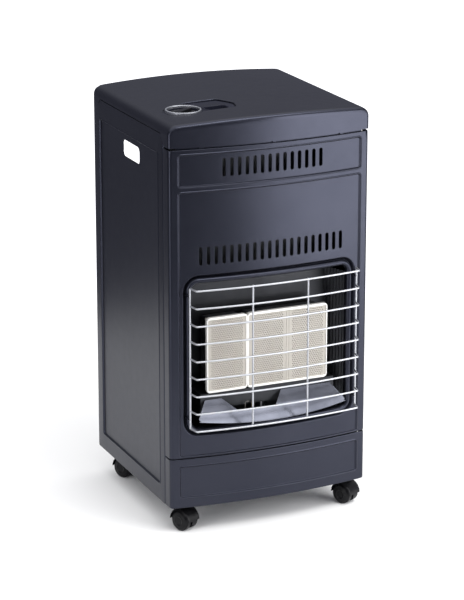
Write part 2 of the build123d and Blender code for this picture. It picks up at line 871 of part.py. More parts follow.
def caster_wheels(frame):
    """Two dished wheels with rounded treads, pressed on one axle."""
    inner = caster_gap / 2
    outer = inner + caster_wheel_width
    axis_at = frame.from_local_coords((0, -caster_trail, wheel_z))
    with BuildPart() as wheels:
        for side in (-1, 1):
            with BuildSketch(Plane(axis_at, x_dir=frame.x_dir, z_dir=-frame.y_dir)):
                with BuildLine():
                    Polyline(
                        (side * inner, axle_radius + pressed),
                        (side * inner, caster_wheel_radius - 3),
                        (side * (inner + 2.5), caster_wheel_radius),
                        (side * (outer - 5), caster_wheel_radius),
                        (side * (outer - 1.5), caster_wheel_radius - 4),
                        (side * outer, 9),
                        (side * (outer - 1), 7),
                        (side * (outer - 1), 0),
                        (side * (outer - 3), 0),
                        (side * (outer - 3), axle_radius + pressed),
                        close=True,
                    )
                make_face()
            revolve(axis=Axis(axis_at, frame.x_dir))
    return wheels.part


for caster_name, pivot_x, pivot_y in caster_places:
    pivot = caster_frame(pivot_x, pivot_y)
    finish(caster_hood(pivot), f"caster_{caster_name}_hood")
    finish(caster_stem(pivot), f"caster_{caster_name}_stem")
    finish(caster_axle(pivot), f"caster_{caster_name}_axle")
    finish(caster_wheels(pivot), f"caster_{caster_name}_wheels")

# ---------------------------------------------------------------------------
# Partition between the fire and the bottle, and the rail across the open back.
# ---------------------------------------------------------------------------
partition_half = half_width - pan_inset - base_wall - 0.2
partition_bottom = base_z + base_wall
pipe_hole_x = (-plaque_pitch, 0, plaque_pitch)

with BuildPart() as partition:
    with BuildSketch(facing(back(partition_y))):
        with Locations((0, (partition_bottom + bracket_z) / 2)):
            Rectangle(2 * partition_half, bracket_z - partition_bottom)
        with Locations(*[(x, injector_z) for x in pipe_hole_x]):
            Circle(pipe_radius + 2, mode=Mode.SUBTRACT)
        with Locations((-30, 150)):
            Circle(pilot_pipe_radius + 2, mode=Mode.SUBTRACT)
    extrude(amount=-sheet)
    for edge in (-1, 1):
        with BuildSketch(facing(back(partition_y))):
            with Locations((edge * (partition_half - sheet / 2), 390)):
                Rectangle(sheet, 640)
        extrude(amount=-10)
finish(partition.part, "partition")

rail_bottom = 706.0
rail_half = half_width - sheet - fold_radius
rail_depth = 18.0
rail_face = rear_y - sheet
with BuildPart() as rear_rail:
    with BuildSketch(facing(rail_face)):
        with Locations((0, (rail_bottom + rail_top) / 2)):
            Rectangle(2 * rail_half, rail_top - rail_bottom)
    extrude(amount=sheet)
    with BuildSketch(Plane.XY.offset(rail_top)):
        with Locations((0, rail_face - rail_depth / 2)):
            Rectangle(2 * rail_half, rail_depth)
    extrude(amount=-sheet)
finish(rear_rail.part, "rear_rail")

# ---------------------------------------------------------------------------
# Rear cover: a lift-off panel over the bottle, open above it.
# ---------------------------------------------------------------------------
cover_bottom = 62.0
cover_top = 590.0
cover_half = 184.0
cover_edge = 9.0
louvre_size = (60.0, 6.0)
cover_middle = (cover_bottom + cover_top) / 2
cover_height = cover_top - cover_bottom
cover_face = rear_y + 0.3

with BuildPart() as rear_cover:
    with BuildSketch(facing(cover_face)):
        with Locations((0, cover_middle)):
            RectangleRounded(2 * cover_half + 6, cover_height, 6)
    extrude(amount=-sheet)
    with BuildSketch(facing(cover_face)):
        with Locations((0, cover_middle)):
            RectangleRounded(2 * cover_half, cover_height - 50, 4)
            RectangleRounded(2 * (cover_half - sheet), cover_height - 50 - 2 * sheet, 3,
                             mode=Mode.SUBTRACT)
    extrude(amount=cover_edge)
    with BuildSketch(facing(cover_face + sheet)):
        with Locations((0, cover_bottom + 70)):
            with GridLocations(90, 16, 3, 3):
                SlotOverall(*louvre_size)
        with Locations((0, cover_top - 60)):
            with GridLocations(90, 16, 3, 2):
                SlotOverall(*louvre_size)
    extrude(amount=2 * sheet, mode=Mode.SUBTRACT)
    with BuildSketch(facing(cover_face + sheet)):
        with Locations((0, cover_top - 18)):
            SlotOverall(90, 20)
    extrude(amount=2 * sheet, mode=Mode.SUBTRACT)
finish(rear_cover.part, "rear_cover")

# ---------------------------------------------------------------------------
# Firebox: back, floor, sloping top and two ribbed side reflectors.
# ---------------------------------------------------------------------------
fire_half_front = 163.0
fire_half_back = 142.0
fire_front = back(rim_back + 0.3)
fire_back = back(firebox_back_y)
rib_count = 7
rib_depth = 2.5

with BuildPart() as firebox_back:
    with BuildSketch(facing(fire_back)):
        with Locations((0, (firebox_floor + 470) / 2)):
            Rectangle(2 * fire_half_back + 20, 470 - firebox_floor)
    extrude(amount=-sheet)
finish(firebox_back.part, "firebox_back")

with BuildPart() as firebox_bottom:
    with BuildSketch(Plane.XY.offset(firebox_floor)):
        with BuildLine():
            Polyline(
                (-fire_half_front, fire_front),
                (fire_half_front, fire_front),
                (fire_half_back + 10, back(partition_y) - 0.2),
                (-fire_half_back - 10, back(partition_y) - 0.2),
                close=True,
            )
        make_face()
        with Locations(*[(x, back(injector_y)) for x in pipe_hole_x]):
            Circle(venturi_radius + 2, mode=Mode.SUBTRACT)
        with Locations((-30, back(24))):
            Circle(6, mode=Mode.SUBTRACT)
    extrude(amount=-sheet)
finish(firebox_bottom.part, "firebox_floor")

with BuildPart() as firebox_top_sheet:
    with BuildSketch(Plane.YZ.offset(-fire_half_front)):
        with BuildLine():
            Polyline(
                (fire_front, firebox_top),
                (back(20), firebox_top),
                (back(partition_y) - 0.2, 470),
                (back(partition_y) - 0.2, 470 + sheet),
                (back(20), firebox_top + sheet),
                (fire_front, firebox_top + sheet),
                close=True,
            )
        make_face()
    extrude(amount=2 * fire_half_front)
finish(firebox_top_sheet.part, "firebox_top")


def firebox_side(side):
    """A fluted reflector that closes one side of the fire."""
    start = Vector(side * fire_half_front, fire_front + sheet)
    end = Vector(side * fire_half_back, fire_back)
    run = (end - start) / (2 * rib_count)
    normal = Vector(-run.Y, run.X).normalized() * (-side)
    points = []
    for step in range(2 * rib_count + 1):
        lift = normal * (rib_depth * (step % 2))
        points.append(start + run * step + lift)
    outer = [point - normal * sheet for point in points]
    ring = points + outer[::-1]
    with BuildPart() as wall:
        with BuildSketch(Plane.XY.offset(firebox_floor)):
            with BuildLine():
                Polyline(*[(point.X, point.Y) for point in ring], close=True)
            make_face()
        extrude(amount=469 - firebox_floor)
    return wall.part


finish(firebox_side(-1), "firebox_side_left")
finish(firebox_side(1), "firebox_side_right")

# ---------------------------------------------------------------------------
# Burners: bright frames, perforated plaques, mixing boxes and venturi tubes.
# ---------------------------------------------------------------------------
frame_front = back(burner_front)
frame_bottom = burner_centre_z - frame_height / 2
bracket_top = frame_bottom


def burner_frame(centre_x, count):
    """A bright frame round one or more plaques, with a lip in front of them."""
    outer = count * plaque_pitch - 1 + frame_lip - 2
    with BuildPart() as frame:
        with BuildSketch(facing(frame_front)):
            with Locations((centre_x, burner_centre_z)):
                RectangleRounded(outer, frame_height, frame_radius)
        extrude(amount=-frame_depth)
        front_rim = frame.faces().sort_by(Axis.Y)[0].edges()
        fillet(front_rim, 1.5)
        with BuildSketch(facing(frame_front - 1)):
            with Locations((centre_x, burner_centre_z)):
                with GridLocations(plaque_pitch, 1, count, 1):
                    Rectangle(plaque_size[0] - 3, plaque_size[2] - 3)
        extrude(amount=-frame_depth - 2, mode=Mode.SUBTRACT)
        with BuildSketch(facing(frame_front + 1.5)):
            with Locations((centre_x, burner_centre_z)):
                with GridLocations(plaque_pitch, 1, count, 1):
                    Rectangle(plaque_size[0], plaque_size[2])
        extrude(amount=-frame_depth, mode=Mode.SUBTRACT)
    return frame.part


def plaque(centre_x):
    """One ceramic plaque."""
    with BuildPart() as tile:
        with BuildSketch(facing(frame_front + 1.5)):
            with Locations((centre_x, burner_centre_z)):
                Rectangle(plaque_size[0] - 0.2, plaque_size[2] - 0.2)
        extrude(amount=-plaque_size[1])
    return tile.part


def mixing_box(centre_x, count):
    """The pressed box behind the plaques, with one venturi tube for each."""
    wide = count * plaque_pitch - 6
    box_front = frame_front + frame_depth
    tube_y = back(injector_y)
    with BuildPart() as box:
        with BuildSketch(facing(box_front)):
            with Locations((centre_x, burner_centre_z)):
                RectangleRounded(wide, frame_height - 8, 8)
        extrude(amount=-box_depth, taper=8)
        with BuildSketch(facing(box_front)):
            with Locations((centre_x, burner_centre_z)):
                RectangleRounded(wide - 2 * sheet, frame_height - 8 - 2 * sheet, 7)
        extrude(amount=-box_depth + sheet, taper=8, mode=Mode.SUBTRACT)
        for index in range(count):
            tube_x = centre_x + (index - (count - 1) / 2) * plaque_pitch
            with BuildSketch(Plane.XZ.offset(-tube_y)):
                with BuildLine():
                    Polyline(
                        (tube_x, venturi_bottom),
                        (tube_x + venturi_radius, venturi_bottom),
                        (tube_x + venturi_throat, venturi_bottom + 18),
                        (tube_x + venturi_radius, frame_bottom + 12),
                        (tube_x, frame_bottom + 12),
                        close=True,
                    )
                make_face()
            revolve(axis=Axis((tube_x, tube_y, 0), (0, 0, 1)))
            with BuildSketch(Plane.XY.offset(venturi_bottom)):
                with Locations((tube_x, tube_y)):
                    Circle(venturi_throat - sheet)
            extrude(amount=frame_bottom + 8 - venturi_bottom, mode=Mode.SUBTRACT)
    return box.part


single_x = -plaque_pitch
double_x = plaque_pitch / 2
finish(burner_frame(single_x, 1), "burner_frame_single")
finish(burner_frame(double_x, 2), "burner_frame_double")
finish(mixing_box(single_x, 1), "mixing_box_single")
finish(mixing_box(double_x, 2), "mixing_box_double")
for plaque_name, plaque_index in (("left", -1), ("middle", 0), ("right", 1)):
    finish(plaque(plaque_index * plaque_pitch), f"plaque_{plaque_name}")

# ---------------------------------------------------------------------------
# Burner bracket: a channel that spans the firebox and carries the burners.
# ---------------------------------------------------------------------------
channel_front = back(burner_front)
channel_back = fire_back - 0.2
channel_half = 136.0
leg_front = fire_front + 0.2
with BuildPart() as burner_bracket:
    with BuildSketch(Plane.YZ.offset(-channel_half)):
        with BuildLine():
            Polyline(
                (channel_front, bracket_top - 30),
                (channel_front, bracket_top),
                (channel_back, bracket_top),
                (channel_back, bracket_top - sheet),
                (channel_front + sheet, bracket_top - sheet),
                (channel_front + sheet, bracket_top - 30),
                close=True,
            )
        make_face()
    extrude(amount=2 * channel_half)
    for leg in (-1, 1):
        with BuildSketch(Plane.YZ.offset(leg * channel_half)):
            with BuildLine():
                Polyline(
                    (leg_front, firebox_floor),
                    (leg_front, bracket_top),
                    (channel_back, bracket_top),
                    (channel_back, firebox_floor),
                    close=True,
                )
            make_face()
        extrude(amount=-leg * sheet)
    with BuildSketch(Plane.XY.offset(bracket_top)):
        with Locations(*[(x, back(injector_y)) for x in pipe_hole_x]):
            Circle(venturi_radius + 1.5)
        with Locations((-30, back(24))):
            Circle(4)
    extrude(amount=-2 * sheet, mode=Mode.SUBTRACT)
finish(burner_bracket.part, "burner_bracket")

# ---------------------------------------------------------------------------
# Reflector: a steep polished apron below the burners, bowed along its front
# edge and notched in the middle for the pilot flame.
# ---------------------------------------------------------------------------
apron_top = (back(burner_front) - 0.8, 257.0)
apron_slope = 1.35
apron_fall = 38.0
apron_sheet = 1.0
apron_half_top = 128.0
apron_half_bottom = 153.0
apron_corner_y = back(-19)
apron_middle_y = back(-30)

with BuildPart() as reflector:
    with BuildSketch(Plane.YZ.offset(-half_width)):
        with BuildLine():
            low = (apron_top[0] - apron_fall, apron_top[1] - apron_fall * apron_slope)
            Polyline(
                apron_top,
                low,
                (low[0] + apron_sheet * 1.25, low[1] - apron_sheet),
                (apron_top[0] + apron_sheet * 0.5, apron_top[1] - apron_sheet),
                close=True,
            )
        make_face()
    extrude(amount=width)
    with BuildSketch(Plane.XY):
        with BuildLine():
            ThreePointArc(
                (-apron_half_bottom, apron_corner_y),
                (0, apron_middle_y),
                (apron_half_bottom, apron_corner_y),
            )
            Polyline(
                (apron_half_bottom, apron_corner_y),
                (apron_half_top, back(burner_front)),
                (-apron_half_top, back(burner_front)),
                (-apron_half_bottom, apron_corner_y),
            )
        make_face()
    extrude(amount=cabinet_top, mode=Mode.INTERSECT)
    with BuildSketch(facing(back(front_return))) as notch:
        with BuildLine():
            Polyline((-95, 260), (-68, 233), (8, 230), (26, 260), close=True)
        make_face()
        fillet(notch.vertices().group_by(Axis.Y)[0], 4)
    extrude(amount=4 * front_return, mode=Mode.SUBTRACT)
    with BuildSketch(Plane.XY.offset(opening_centre_z - opening_size[1] / 2)):
        with Locations((-118, back(-1)), (118, back(-1))):
            Rectangle(14, 1.2)
    extrude(amount=43)
finish(reflector.part, "reflector")

# ---------------------------------------------------------------------------
# Injectors, their rail and the pipes from the tap.
# ---------------------------------------------------------------------------
rail_y = back(injector_y)
with BuildPart() as injector_rail:
    with BuildSketch(Plane.XY.offset(injector_z + 5)):
        with Locations((0, rail_y)):
            Rectangle(250, 30)
        with Locations(*[(x, rail_y) for x in pipe_hole_x]):
            Circle(5 + running, mode=Mode.SUBTRACT)
    extrude(amount=1.5)
    for end in (-1, 1):
        with BuildSketch(Plane.YZ.offset(end * 125)):
            with Locations((rail_y, (injector_z + firebox_floor) / 2 + 1.7)):
                Rectangle(30, firebox_floor - injector_z - 5.4)
        extrude(amount=-end * 1.5)
finish(injector_rail.part, "injector_rail")

with BuildPart() as injectors:
    for injector_x in pipe_hole_x:
        with BuildSketch(Plane.XY.offset(injector_z - 5)):
            with Locations((injector_x, rail_y)):
                RegularPolygon(7, 6)
        extrude(amount=10)
        with BuildSketch(Plane.XY.offset(injector_z + 5)):
            with Locations((injector_x, rail_y)):
                Circle(5)
        extrude(amount=6)
        with BuildSketch(Plane.XY.offset(injector_z + 11)):
            with Locations((injector_x, rail_y)):
                Circle(3)
        extrude(amount=5, taper=15)
        with BuildSketch(facing(rail_y + 9)):
            with Locations((injector_x, injector_z)):
                Circle(pipe_radius + 1)
        extrude(amount=4)
finish(injectors.part, "injectors")

pipe_names = ("left", "middle", "right")
pipe_turn_z = 200.0
pipe_step = 25.0
for pipe_index, pipe_name in enumerate(pipe_names):
    start_x = outlet_x[pipe_index]
    end_x = pipe_hole_x[pipe_index]
    turn_z = pipe_turn_z + pipe_index * pipe_step
    with BuildPart() as feed_pipe:
        with BuildLine() as route:
            FilletPolyline(
                (start_x, outlet_y, tap_bottom),
                (start_x, outlet_y, turn_z),
                (end_x, outlet_y, turn_z),
                (end_x, outlet_y, injector_z),
                (end_x, rail_y + 13, injector_z),
                radius=9,
            )
        add(tube_along(route.line, pipe_radius))
    finish(feed_pipe.part, f"feed_pipe_{pipe_name}")

# ---------------------------------------------------------------------------
# Pilot: a bracket in the notch with its small burner, the thermocouple beside
# the flame and the spark electrode in its ceramic.
# ---------------------------------------------------------------------------
pilot_x = -34.0
pilot_y = back(0.0)
shelf_z = 214.0
shelf_sheet = 1.2
pilot_head_z = 243.0
thermocouple_x = pilot_x + 17
electrode_x = pilot_x - 15

with BuildPart() as pilot_bracket:
    with BuildSketch(Plane.XY.offset(shelf_z)):
        with Locations((pilot_x, back(2))):
            Rectangle(54, 16)
        with Locations((pilot_x, pilot_y)):
            Circle(3 + running, mode=Mode.SUBTRACT)
        with Locations((thermocouple_x, pilot_y)):
            Circle(2 + running, mode=Mode.SUBTRACT)
        with Locations((electrode_x, pilot_y)):
            Circle(3 + running, mode=Mode.SUBTRACT)
    extrude(amount=shelf_sheet)
    with BuildSketch(facing(back(10))):
        with Locations((pilot_x, (shelf_z + firebox_floor) / 2)):
            Rectangle(54, shelf_z - firebox_floor)
    extrude(amount=-shelf_sheet)
    with BuildSketch(Plane.XY.offset(shelf_z)):
        with Locations((pilot_x, back(10.6))):
            Rectangle(54, 1.2)
    extrude(amount=shelf_sheet)
finish(pilot_bracket.part, "pilot_bracket")

with BuildPart() as pilot_burner:
    with BuildSketch(Plane.YZ.offset(pilot_x)):
        with BuildLine():
            Polyline(
                (pilot_y, shelf_z - 8),
                (pilot_y + 3, shelf_z - 8),
                (pilot_y + 3, shelf_z + shelf_sheet),
                (pilot_y + 5, shelf_z + shelf_sheet),
                (pilot_y + 5, shelf_z + 7),
                (pilot_y + 3, shelf_z + 9),
                (pilot_y + 3, pilot_head_z),
                (pilot_y, pilot_head_z),
                close=True,
            )
        make_face()
    revolve(axis=Axis((pilot_x, pilot_y, 0), (0, 0, 1)))
    with BuildSketch(facing(pilot_y - 4)):
        with Locations((pilot_x, pilot_head_z - 4)):
            Rectangle(3, 3)
    extrude(amount=-4, mode=Mode.SUBTRACT)
finish(pilot_burner.part, "pilot_burner")

with BuildPart() as thermocouple:
    with BuildSketch(Plane.XY.offset(shelf_z - 10)):
        with Locations((thermocouple_x, pilot_y)):
            Circle(2)
    extrude(amount=pilot_head_z + 8 - shelf_z)
    fillet(thermocouple.faces().sort_by(Axis.Z)[-1].edges(), 1.5)
    with BuildSketch(Plane.XY.offset(shelf_z + shelf_sheet)):
        with Locations((thermocouple_x, pilot_y)):
            RegularPolygon(5, 6)
    extrude(amount=4)
finish(thermocouple.part, "thermocouple")

with BuildPart() as spark_electrode:
    with BuildSketch(Plane.XY.offset(shelf_z - 8)):
        with Locations((electrode_x, pilot_y)):
            Circle(3)
    extrude(amount=24)
    with BuildLine() as spark_wire:
        FilletPolyline(
            (electrode_x, pilot_y, shelf_z + 15),
            (electrode_x, pilot_y, pilot_head_z + 2),
            (electrode_x + 8, pilot_y, pilot_head_z + 2),
            radius=3,
        )
    add(tube_along(spark_wire.line, 0.8))
finish(spark_electrode.part, "spark_electrode")

# ---------------------------------------------------------------------------
# Wire guard: nine bowed wires with returned ends, on four uprights.
# ---------------------------------------------------------------------------
wire_radius = wire / 2
guard_end_y = bow_centre_y - sqrt(guard_radius**2 - guard_half_width**2)
upright_y = guard_end_y + guard_return
guard_top = guard_bottom + (guard_wire_count - 1) * guard_pitch
inner_y = bow_centre_y - sqrt(guard_radius**2 - guard_inner_x**2) + wire - 0.4

wire_end_y = upright_y - wire_radius + guard_weld

with BuildPart() as guard_wires:
    for row in range(guard_wire_count):
        row_z = guard_bottom + row * guard_pitch
        with BuildLine(Plane.XY.offset(row_z)) as run_line:
            Line((-guard_half_width, wire_end_y), (-guard_half_width, guard_end_y))
            ThreePointArc(
                (-guard_half_width, guard_end_y),
                (0, bow_centre_y - guard_radius),
                (guard_half_width, guard_end_y),
            )
            Line((guard_half_width, guard_end_y), (guard_half_width, wire_end_y))
            fillet(run_line.vertices().group_by(Axis.Y)[-2], guard_bend)
        add(tube_along(run_line.line, wire_radius))
finish(guard_wires.part, "guard_wires")

with BuildPart() as guard_uprights:
    for end in (-1, 1):
        with BuildLine() as upright:
            FilletPolyline(
                (end * guard_half_width, back(4), guard_feet_z[0]),
                (end * guard_half_width, upright_y, guard_feet_z[0]),
                (end * guard_half_width, upright_y, guard_feet_z[1]),
                (end * guard_half_width, back(4), guard_feet_z[1]),
                radius=guard_bend,
            )
        add(tube_along(upright.line, wire_radius))
    for inner in (-guard_inner_x, guard_inner_x):
        with BuildSketch(Plane.XY.offset(guard_bottom - wire_radius)):
            with Locations((inner, inner_y)):
                Circle(wire_radius)
        extrude(amount=guard_top - guard_bottom + wire)
finish(guard_uprights.part, "guard_uprights")
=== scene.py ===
# %% [markdown]
# # A gas cabinet heater, dressed round its CAD frame
# The heater is a bowed steel cabinet on four casters. Its solids come from the
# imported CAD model, in metres, with +X to the right of somebody facing it, +Y to
# the back and +Z up. This lesson keeps every solid where it is, and puts finer
# pieces over the ones that the eye rests on.

import json
import math

import bpy
import numpy as np
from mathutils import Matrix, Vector
from mathutils.geometry import delaunay_2d_cdt


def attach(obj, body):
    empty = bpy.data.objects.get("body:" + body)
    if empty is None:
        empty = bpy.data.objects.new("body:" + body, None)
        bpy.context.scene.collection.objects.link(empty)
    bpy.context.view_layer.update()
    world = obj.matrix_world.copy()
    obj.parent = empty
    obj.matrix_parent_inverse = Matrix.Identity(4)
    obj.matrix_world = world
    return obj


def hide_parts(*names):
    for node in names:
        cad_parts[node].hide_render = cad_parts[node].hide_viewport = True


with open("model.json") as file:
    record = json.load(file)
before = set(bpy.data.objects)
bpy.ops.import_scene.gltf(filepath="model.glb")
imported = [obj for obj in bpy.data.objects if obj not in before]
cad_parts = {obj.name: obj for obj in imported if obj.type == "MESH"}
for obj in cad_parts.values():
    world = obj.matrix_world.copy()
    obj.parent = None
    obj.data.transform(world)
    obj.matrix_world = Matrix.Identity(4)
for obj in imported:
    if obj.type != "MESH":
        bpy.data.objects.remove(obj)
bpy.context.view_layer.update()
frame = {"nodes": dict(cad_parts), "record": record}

# %% [markdown]
# ## Places that many pieces share
# The cabinet's front is part of a large cylinder. The bow is 18.3 mm deep over
# a width of 400 mm, and that alone gives its radius. `bow_y` says how far
# forward the front is at any x.

# %% Shared sizes
MM = 0.001
half_width = 200 * MM
bow_rise = 18.3 * MM
front_y = -160.35 * MM
rear_y = front_y + 375 * MM
bow_radius = (half_width**2 + bow_rise**2) / (2 * bow_rise)
bow_centre_y = front_y - bow_rise + bow_radius


def bow_y(x, inset=0.0):
    """Where the bowed front lies at x, moved in by inset."""
    return bow_centre_y - np.sqrt((bow_radius - inset) ** 2 - np.square(x))


print("bow radius", round(bow_radius, 4))

# %% [markdown]
# ## Node helpers for materials
# Every finish on the heater is made of shader nodes. One helper adds a node and
# fills its sockets, and one starts a material whose grain is measured in
# metres, because it reads object coordinates.

# %% Node helpers


def node(tree, kind, **values):
    """Add a node; a value or link goes to the socket or setting of that name."""
    made = tree.nodes.new(kind)
    for key, value in values.items():
        name = key.replace("_", " ")
        if isinstance(value, bpy.types.NodeSocket):
            tree.links.new(value, made.inputs[name])
        elif name in made.inputs:
            made.inputs[name].default_value = value
        else:
            setattr(made, key, value)
    return made


def new_finish(name):
    """A node material with its shader, its tree and object coordinates."""
    material = bpy.data.materials.new(name)
    material.use_nodes = True
    tree = material.node_tree
    shader = tree.nodes["Principled BSDF"]
    place = tree.nodes.new("ShaderNodeTexCoord").outputs["Object"]
    return material, tree, shader, place


def noise(tree, place, scale, detail):
    """Noise with a given number of waves to the metre."""
    made = node(
        tree, "ShaderNodeTexNoise", Vector=place, Scale=scale, Detail=detail, Roughness=0.55
    )
    return made.outputs["Fac"]


def ramp(tree, value, stops):
    """Turn a value into a colour by stops of (position, grey or colour)."""
    made = node(tree, "ShaderNodeValToRGB", Fac=value)
    while len(made.color_ramp.elements) < len(stops):
        made.color_ramp.elements.new(0.5)
    for element, (position, colour) in zip(made.color_ramp.elements, stops):
        element.position = position
        element.color = (*np.broadcast_to(colour, 3), 1)
    return made.outputs["Color"]


def spread(tree, value, low, high):
    """Map 0 to 1 onto low to high."""
    made = node(tree, "ShaderNodeMapRange", Value=value, To_Min=low, To_Max=high)
    return made.outputs["Result"]


def bump(tree, shader, height, distance):
    """Raise the surface by a height map, over a real distance in metres."""
    made = node(tree, "ShaderNodeBump", Height=height, Distance=distance, Strength=1.0)
    tree.links.new(made.outputs["Normal"], shader.inputs["Normal"])


# %% [markdown]
# ## Finishes
# A grained finish has three layers: a colour that drifts a little, a roughness
# that drifts on another scale, and a bump for the surface's own texture. The
# same recipe makes powder paint, zinc plate, moulded plastic and brushed steel
# when its numbers change.

# %% A recipe for grained finishes
tint_waves, wear_waves = 9, 60


def grained(name, darker, lighter, roughness, metallic, grain, depth, specular=0.5):
    """A finish that drifts between two colours, with grain waves to the metre."""
    material, tree, shader, place = new_finish(name)
    tint = ramp(tree, noise(tree, place, tint_waves, 4), [(0.3, darker), (0.7, lighter)])
    tree.links.new(tint, shader.inputs["Base Color"])
    rough = spread(tree, noise(tree, place, wear_waves, 3), *roughness)
    tree.links.new(rough, shader.inputs["Roughness"])
    bump(tree, shader, noise(tree, place, grain, 2), depth * MM)
    shader.inputs["Metallic"].default_value = metallic
    shader.inputs["Specular IOR Level"].default_value = specular
    return material


# %% [markdown]
# Each row below gives a darker and a lighter colour, the range of roughness,
# how metallic the finish is, its grain in waves to the metre and in mm of
# depth, and for plastic the strength of its shine.

# %% The finishes
recipes = {
    "cabinet_paint": ((0.027, 0.029, 0.041), (0.031, 0.033, 0.046), (0.3, 0.38), 0.9, 2600, 0.03),
    "lid_paint": ((0.03, 0.032, 0.045), (0.034, 0.036, 0.05), (0.3, 0.38), 0.9, 2600, 0.03),
    "control_plastic": (
        (0.009, 0.01, 0.021), (0.012, 0.013, 0.026), (0.5, 0.6), 0, 3200, 0.05, 0.2
    ),
    "silver_trim": ((0.34, 0.35, 0.38), (0.4, 0.41, 0.44), (0.42, 0.5), 0.9, 1800, 0.01),
    "black_plastic": (
        (0.004, 0.004, 0.005), (0.007, 0.007, 0.008), (0.26, 0.38), 0, 2400, 0.04, 0.15
    ),
    "zinc_steel": ((0.075, 0.078, 0.085), (0.105, 0.108, 0.115), (0.34, 0.5), 0.85, 420, 0.03),
    "dark_steel": ((0.018, 0.019, 0.022), (0.034, 0.035, 0.039), (0.26, 0.42), 0.8, 300, 0.04),
    "bright_steel": ((0.1, 0.1, 0.11), (0.14, 0.14, 0.15), (0.22, 0.32), 1, 1200, 0.01),
    "polished_steel": ((0.034, 0.036, 0.045), (0.066, 0.069, 0.083), (0.16, 0.26), 1, 14, 0.3),
    "aluminised": ((0.78, 0.77, 0.74), (0.86, 0.85, 0.82), (0.3, 0.42), 0.35, 900, 0.03),
    "aluminium_pipe": ((0.24, 0.245, 0.25), (0.3, 0.305, 0.31), (0.3, 0.4), 1, 800, 0.02),
    "white_ceramic": ((0.045, 0.043, 0.04), (0.07, 0.067, 0.062), (0.18, 0.26), 0, 500, 0.02),
    "brass": ((0.09, 0.062, 0.026), (0.14, 0.1, 0.042), (0.26, 0.38), 1, 700, 0.03),
    "guard_chrome": ((0.4, 0.41, 0.44), (0.48, 0.49, 0.52), (0.34, 0.44), 0.8, 300, 0.01),
    "ceramic": ((0.38, 0.355, 0.315), (0.44, 0.415, 0.375), (0.75, 0.9), 0, 1500, 0.1),
}
finishes = {name: grained(name, *recipe) for name, recipe in recipes.items()}
print("finishes", sorted(finishes))

# %% Give every CAD node its finish
slot_of = {part["node"]: part["material_slot"] for part in frame["record"]["subparts"]}
for name, solid in frame["nodes"].items():
    solid.data.materials.clear()
    solid.data.materials.append(finishes[slot_of[name]])
print("painted", len(slot_of), "solids")

# %% [markdown]
# ## Pressed sheet metal
# The cabinet's skin is thin steel with shallow pressed fields, slots and a
# drawn rim. A sheet like that is a flat drawing with a depth at each place, so
# it is made in three steps: draw closed lines, let Blender's Delaunay routine
# fill the area between them, and push every point in by its depth and along the
# sheet's bend. The depth is a formula, and so are the normals, so the paint has
# no facets.

# %% Lines of the drawing


def straight(start, end, step):
    """Points between two ends, not counting them."""
    count = max(1, round(math.dist(start, end) / step))
    return [
        (start[0] + (end[0] - start[0]) * i / count, start[1] + (end[1] - start[1]) * i / count)
        for i in range(1, count)
    ]


def rounded_loop(centre, size, radius, grow=0.0, step=10 * MM, turns=6):
    """A closed line of points round a rounded rectangle, grown by grow."""
    half = (size[0] / 2 - radius, size[1] / 2 - radius)
    loop = []
    for quarter, signs in enumerate(((1, 1), (-1, 1), (-1, -1), (1, -1))):
        middle = (centre[0] + signs[0] * half[0], centre[1] + signs[1] * half[1])
        bend = []
        for i in range(turns + 1):
            angle = math.radians(90 * (quarter + i / turns))
            reach = radius + grow
            bend.append((middle[0] + reach * math.cos(angle), middle[1] + reach * math.sin(angle)))
        loop += straight(loop[-1], bend[0], step) if loop else []
        loop += bend
    return loop + straight(loop[-1], loop[0], step)


def circle_loop(middle, radius, count=72, turn=0.0):
    """Points round a circle, turned on by a share of the step between them."""
    angles = [2 * math.pi * (i + turn) / count for i in range(count)]
    return [(middle[0] + radius * math.cos(a), middle[1] + radius * math.sin(a)) for a in angles]


def rings(line, reach, shares, **shape):
    """Closed lines beside a line, each at its share of a reach outside it."""
    return [rounded_loop(*line, grow=reach * share, **shape) for share in shares]


# %% [markdown]
# Depths follow from distances: how far a place lies from a line decides how
# deep the sheet is there.

# %% Distances and depths


def rounded_distance(points, centre, size, radius):
    """How far points lie outside a rounded rectangle; inside it is negative."""
    corner = np.abs(points - np.array(centre)) - np.array(size) / 2 + radius
    outside = np.linalg.norm(np.maximum(corner, 0), axis=-1)
    return outside + np.minimum(np.max(corner, axis=-1), 0) - radius


def pressed_in(distance, wide, deep):
    """The depth of a pressed field whose edge is wide, given the distance to it."""
    share = np.clip(-distance / wide, 0, 1)
    return deep * share * share * (3 - 2 * share)


def rounded_off(distance, radius):
    """The depth near a cut edge that is rounded, given the distance from it."""
    least = 0.03 * radius
    near = np.clip(distance, least, radius)
    fall = radius - np.sqrt(radius**2 - (radius - near) ** 2)
    # The arc is upright at the edge itself, so its last bit runs on straight.
    return fall + np.maximum(least - distance, 0) * 4


def rounded_edge(line, radius):
    """The relief of a plain piece whose outline is rounded."""
    return lambda flat: rounded_off(-rounded_distance(flat, *line), radius)


def within(line):
    """Whether points lie inside a line, as a function of them."""
    return lambda flat: rounded_distance(flat, *line) < 0


def kept(spots, wanted):
    """The spots at which wanted is true."""
    return [spot for spot, keep in zip(spots, wanted(np.array(spots))) if keep]


print("a loop has", len(rounded_loop((0, 0), (0.1, 0.05), 0.008)), "points")

# %% Bending a drawing along a plan


